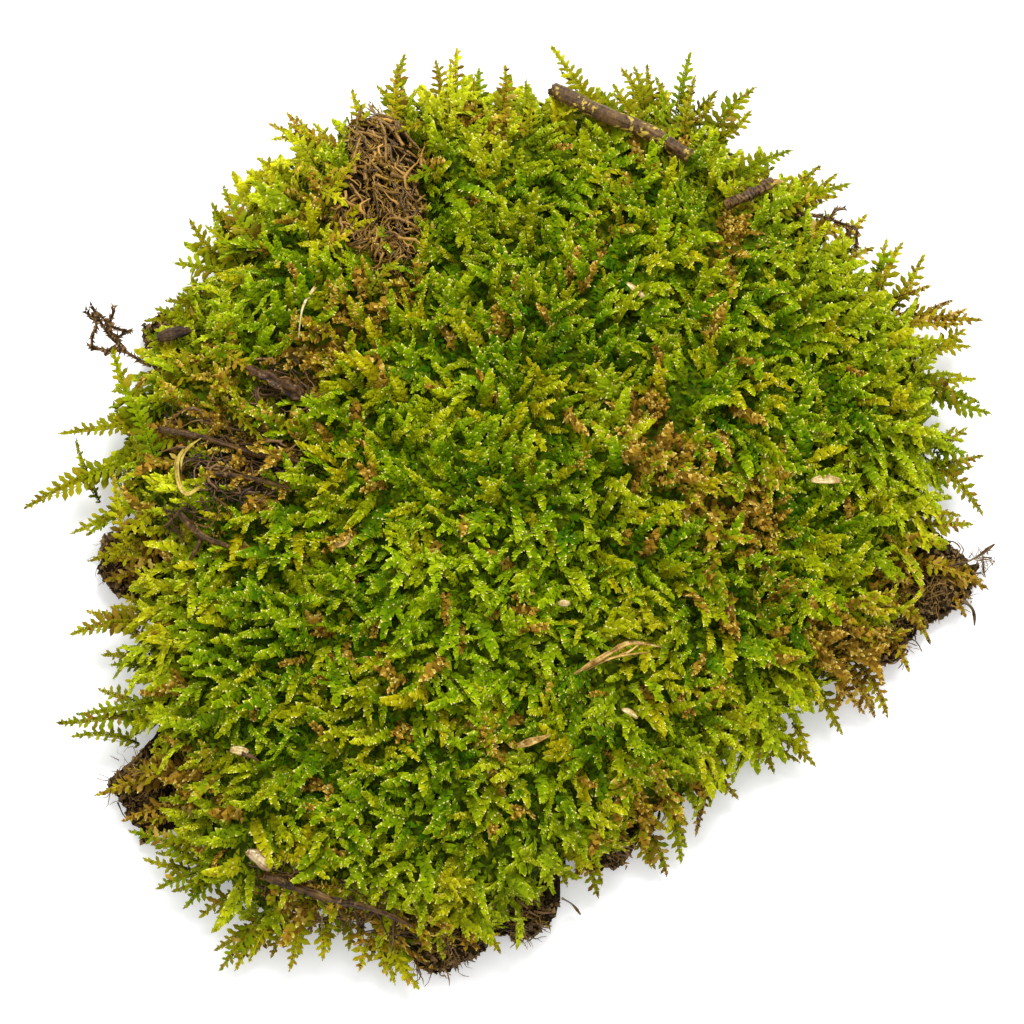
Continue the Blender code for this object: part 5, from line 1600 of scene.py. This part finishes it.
litter = {
    "twigLong": {"node": "twig_long", "path": [(552, 86), (600, 110), (652, 131), (689, 155)],
                 "half": [1.15, 1.28, 1.20, 1.22, 1.16, 1.36, 1.10, 1.06, 1.12], "rough": 0.10, "sides": 26,
                 "station": 0.24 * mm, "finish": "barkLong"},
    "twigShort": {"node": "twig_short", "path": [(727, 205), (752, 192), (775, 179)],
                  "half": [0.8, 0.9, 0.75, 0.95, 0.7, 0.85, 0.6], "rough": 0.4, "sides": 20,
                  "station": 0.24 * mm, "finish": "barkShort", "lift": 0.4},
    "twigPeel": {"node": "twig_short", "path": [(764, 183), (777, 179), (787, 179)],
                 "half": [0.5, 0.55, 0.3, 0.05], "flat": 0.25, "hollow": 0.4, "finish": "straw", "lift": 0.5},
    "oldStemUpper": {"node": "old_stem_upper", "path": [(160, 430), (205, 438), (250, 452), (305, 464)],
                     "half": [0.5, 0.55, 0.4, 0.45, 0.2], "rough": 0.4, "lift": -0.3, "finish": "oldWood"},
    "oldStemLower": {"node": "old_stem_lower", "path": [(214, 474), (250, 478), (292, 488)],
                     "half": [0.45, 0.4, 0.2], "rough": 0.3, "finish": "oldWood"},
    "bentRoot": {"node": "bent_root", "path": [(182, 514), (205, 536), (232, 546)],
                 "half": [0.45, 0.6, 0.5, 0.25], "rough": 0.3, "finish": "oldWood"},
    "bentRootArm": {"node": "bent_root", "path": [(204, 537), (198, 550), (190, 562)],
                    "half": [0.4, 0.35, 0.15], "rough": 0.3, "finish": "oldWood"},
    "frontStem": {"node": "front_stem", "path": [(268, 870), (290, 878), (330, 890), (380, 904), (425, 926)],
                  "half": [0.6, 0.7, 0.48, 0.52, 0.4, 0.44, 0.3], "rough": 0.5, "sides": 18,
                  "station": 0.26 * mm, "finish": "oldWood"},
    "brokenStem": {"node": "broken_stem", "path": [(252, 845), (263, 853), (275, 863)],
                   "half": [0.45, 0.95, 0.85, 0.5], "rough": 0.3, "flat": 0.6, "lift": 0.3,
                   "finish": "paleWood"},
    "curledStraw": {"node": "curled_straw",
                    "path": [(185, 449), (179, 462), (180, 480), (189, 494), (203, 487)],
                    "half": [0.12, 0.34, 0.42, 0.40, 0.36, 0.15], "flat": 0.5, "hollow": 0.3, "rough": 0.25,
                    "finish": "olive"},
    "curledStrawFray": {"node": "curled_straw", "path": [(203, 438), (192, 446), (184, 456), (183, 470)],
                        "half": [0.06, 0.22, 0.3, 0.1], "flat": 0.5, "rough": 0.25, "finish": "olive",
                        "lift": 0.2},
    "paleStraw": {"node": "pale_straw", "path": [(316, 288), (304, 308), (299, 340)], "half": [0.3, 0.2, 0.1],
                  "finish": "husk"},
    "dryStraw": {"node": "dry_straw", "path": [(572, 672), (600, 655), (628, 641), (660, 645)],
                 "half": [0.12, 0.38, 0.40, 0.26, 0.08], "flat": 0.45, "hollow": 0.4, "rough": 0.3,
                 "finish": "straw", "lift": 0.3},
    "dryStrawFray": {"node": "dry_straw", "path": [(600, 657), (622, 652), (640, 640)],
                     "half": [0.12, 0.24, 0.08], "flat": 0.5, "rough": 0.3, "finish": "straw", "lift": 0.5},
    "dryStrawSplit": {"node": "dry_straw", "path": [(584, 668), (612, 655), (648, 650)],
                      "half": [0.06, 0.18, 0.06], "flat": 0.6, "rough": 0.3, "finish": "straw", "lift": 0.2},
    "stalkRight": {"node": "stalk_right", "path": [(950, 566), (972, 560), (995, 544)],
                   "half": [0.2, 0.15, 0.12, 0.13, 0.34, 0.15], "rough": 0.3, "finish": "oldWood"},
    "rootEndRight": {"node": "root_end_right", "path": [(962, 600), (974, 610), (976, 626)],
                     "half": [0.3, 0.2, 0.3, 0.12], "rough": 0.4, "finish": "oldWood"},
    "stalkFront": {"node": "stalk_front", "path": [(562, 894), (572, 902), (580, 912)],
                   "half": [0.18, 0.13, 0.13, 0.3, 0.15], "rough": 0.3, "finish": "oldWood"},
    "barkChipPiece": {"node": "bark_chip", "path": [(156, 338), (174, 334), (190, 330)],
                      "half": [0.5, 1.0, 0.95, 0.3], "flat": 0.55, "rough": 0.5, "sides": 20,
                      "station": 0.22 * mm, "finish": "barkChip"},
    "woodFragment": {"node": "wood_fragment", "path": [(246, 368), (272, 380), (303, 397)],
                     "half": [0.3, 0.6, 0.75, 1.15, 1.2, 1.0, 0.5], "flat": 0.6, "rough": 0.75, "sides": 22,
                     "station": 0.22 * mm, "finish": "woodChip"},
    "huskRight": {"node": "husk_right", "path": [(808, 481), (822, 480), (837, 481)],
                  "half": [0.25, 0.7, 0.68, 0.35], "flat": 0.5, "hollow": 0.5, "finish": "husk", "lift": 0.3},
    "huskLeft": {"node": "husk_left", "path": [(235, 746), (244, 747), (252, 749)], "half": [0.4, 0.78, 0.5],
                 "flat": 0.6, "hollow": 0.3, "finish": "husk", "lift": 0.5},
    "huskLeftTail": {"node": "husk_left", "path": [(246, 750), (256, 753), (263, 757)],
                     "half": [0.4, 0.35, 0.08], "flat": 0.5, "rough": 0.3, "finish": "oldWood",
                     "slot": "husk", "lift": 0.5},
    "seed": {"node": "seed", "path": [(558, 602), (563, 602), (569, 602)], "half": [0.3, 0.62, 0.3],
             "flat": 0.8, "finish": "husk", "lift": 0.9},
    "leafScrap": {"node": "leaf_scrap", "path": [(338, 546), (345, 542), (352, 537)],
                  "half": [0.3, 0.75, 0.3], "flat": 0.35, "hollow": 0.5, "finish": "straw", "lift": 0.8},
    "tanFlake": {"node": "tan_flake", "path": [(516, 742), (532, 737), (549, 731)],
                 "half": [0.2, 0.6, 0.5, 0.15], "flat": 0.35, "hollow": 0.4, "rough": 0.3, "finish": "straw",
                 "lift": 0.6},
    "paleFlakeUpper": {"node": "pale_flake_upper", "path": [(626, 284), (635, 291), (645, 300)],
                       "half": [0.2, 0.45, 0.4, 0.15], "flat": 0.4, "hollow": 0.4, "rough": 0.3,
                       "finish": "husk", "lift": 0.6},
    "paleFlakeLower": {"node": "pale_flake_lower", "path": [(620, 706), (628, 709), (635, 715)],
                       "half": [0.2, 0.45, 0.4, 0.15], "flat": 0.4, "hollow": 0.4, "rough": 0.3,
                       "finish": "husk", "lift": 0.6},
}
litterPlain = {"rough": 0.08, "flat": 1.0, "hollow": 0.0, "lift": 0.0, "sides": 14, "station": 0.32 * mm}
roughness = {"ridge": 1.3, "ridgeTurn": 1.6, "ridgeRun": 0.25, "lumpScale": 900, "torn": 0.3}


def heightOf(node, across, down):
    # The middle of the solid behind a pixel, from those of its corners that lie nearest to it.
    found = []
    for vertex in frame["nodes"][node].data.vertices:
        x, y = pixelOf(vertex.co)
        found.append((math.hypot(x - across, y - down), vertex.co.z))
    found.sort()
    return sum(height for _, height in found[:8]) / 8


def between(values, t):
    place = t * (len(values) - 1)
    k = min(int(place), len(values) - 2)
    return values[k] + (values[k + 1] - values[k]) * (place - k)


def makeLimb(name, look):
    chance = random.Random(name)
    corners = [spot(x, y, heightOf(look["node"], x, y) + look["lift"] * mm) for x, y in look["path"]]
    length = sum((b - a).length for a, b in zip(corners, corners[1:]))
    count, sides = max(8, int(length / look["station"])), look["sides"]
    line = smoothLine(corners, count)
    points, faces, wraps, rims = [], [], [], []

    def addPoint(place, wrap, rim):
        points.append(place)
        wraps.append(wrap)
        rims.append(rim)

    for k, t in enumerate(shares(count)):
        tangent = (line[min(k + 1, count - 1)] - line[max(k - 1, 0)]).normalized()
        side = tangent.cross(above).normalized()
        up = side.cross(tangent)
        half = between(look["half"], t) * mm
        for j in range(sides):
            turn = 2 * math.pi * j / sides
            cosine, sine = math.cos(turn), math.sin(turn)
            ridge = noise.noise(Vector((cosine * roughness["ridgeTurn"], sine * roughness["ridgeTurn"],
                                        t * length / mm * roughness["ridgeRun"] + half)))
            lump = noise.noise((line[k] + side * cosine * half) * roughness["lumpScale"])
            out = half * (1 + look["rough"] * (roughness["ridge"] * ridge + lump))
            height = out * sine * look["flat"] + look["hollow"] * half * (cosine ** 2 - 0.5)
            torn = chance.uniform(-1, 1) * roughness["torn"] * half if k in (0, count - 1) else 0
            addPoint(line[k] + side * (out * cosine) + up * height + tangent * torn,
                     (t * length, half * cosine, half * sine), max(abs(cosine), abs(2 * t - 1)))
    for k in range(count - 1):
        for j in range(sides):
            a, b = k * sides + j, k * sides + (j + 1) % sides
            faces.append((a, b, b + sides, a + sides))
    for start, centre, along in ((0, line[0], 0.0), ((count - 1) * sides, line[-1], length)):
        addPoint(centre, (along, 0.0, 0.0), 1.0)
        for j in range(sides):
            faces.append((start + j, start + (j + 1) % sides, len(points) - 1))
    bm = bmesh.new()
    made = [bm.verts.new(point) for point in points]
    for face in faces:
        bm.faces.new([made[k] for k in face])
    bmesh.ops.recalc_face_normals(bm, faces=bm.faces)
    mesh = meshFrom(bm, name)
    setFloats(mesh, "cut", [0.0] * (len(points) - 2) + [1.0] * 2)
    setFloats(mesh, "rim", rims)
    setVectors(mesh, "wrap", wraps)
    mesh.materials.append(wood[look["finish"]])
    addPiece(name, mesh, (look["node"],))


for name, look in litter.items():
    makeLimb(name, {**litterPlain, **look})
print("litter made")

print("done")
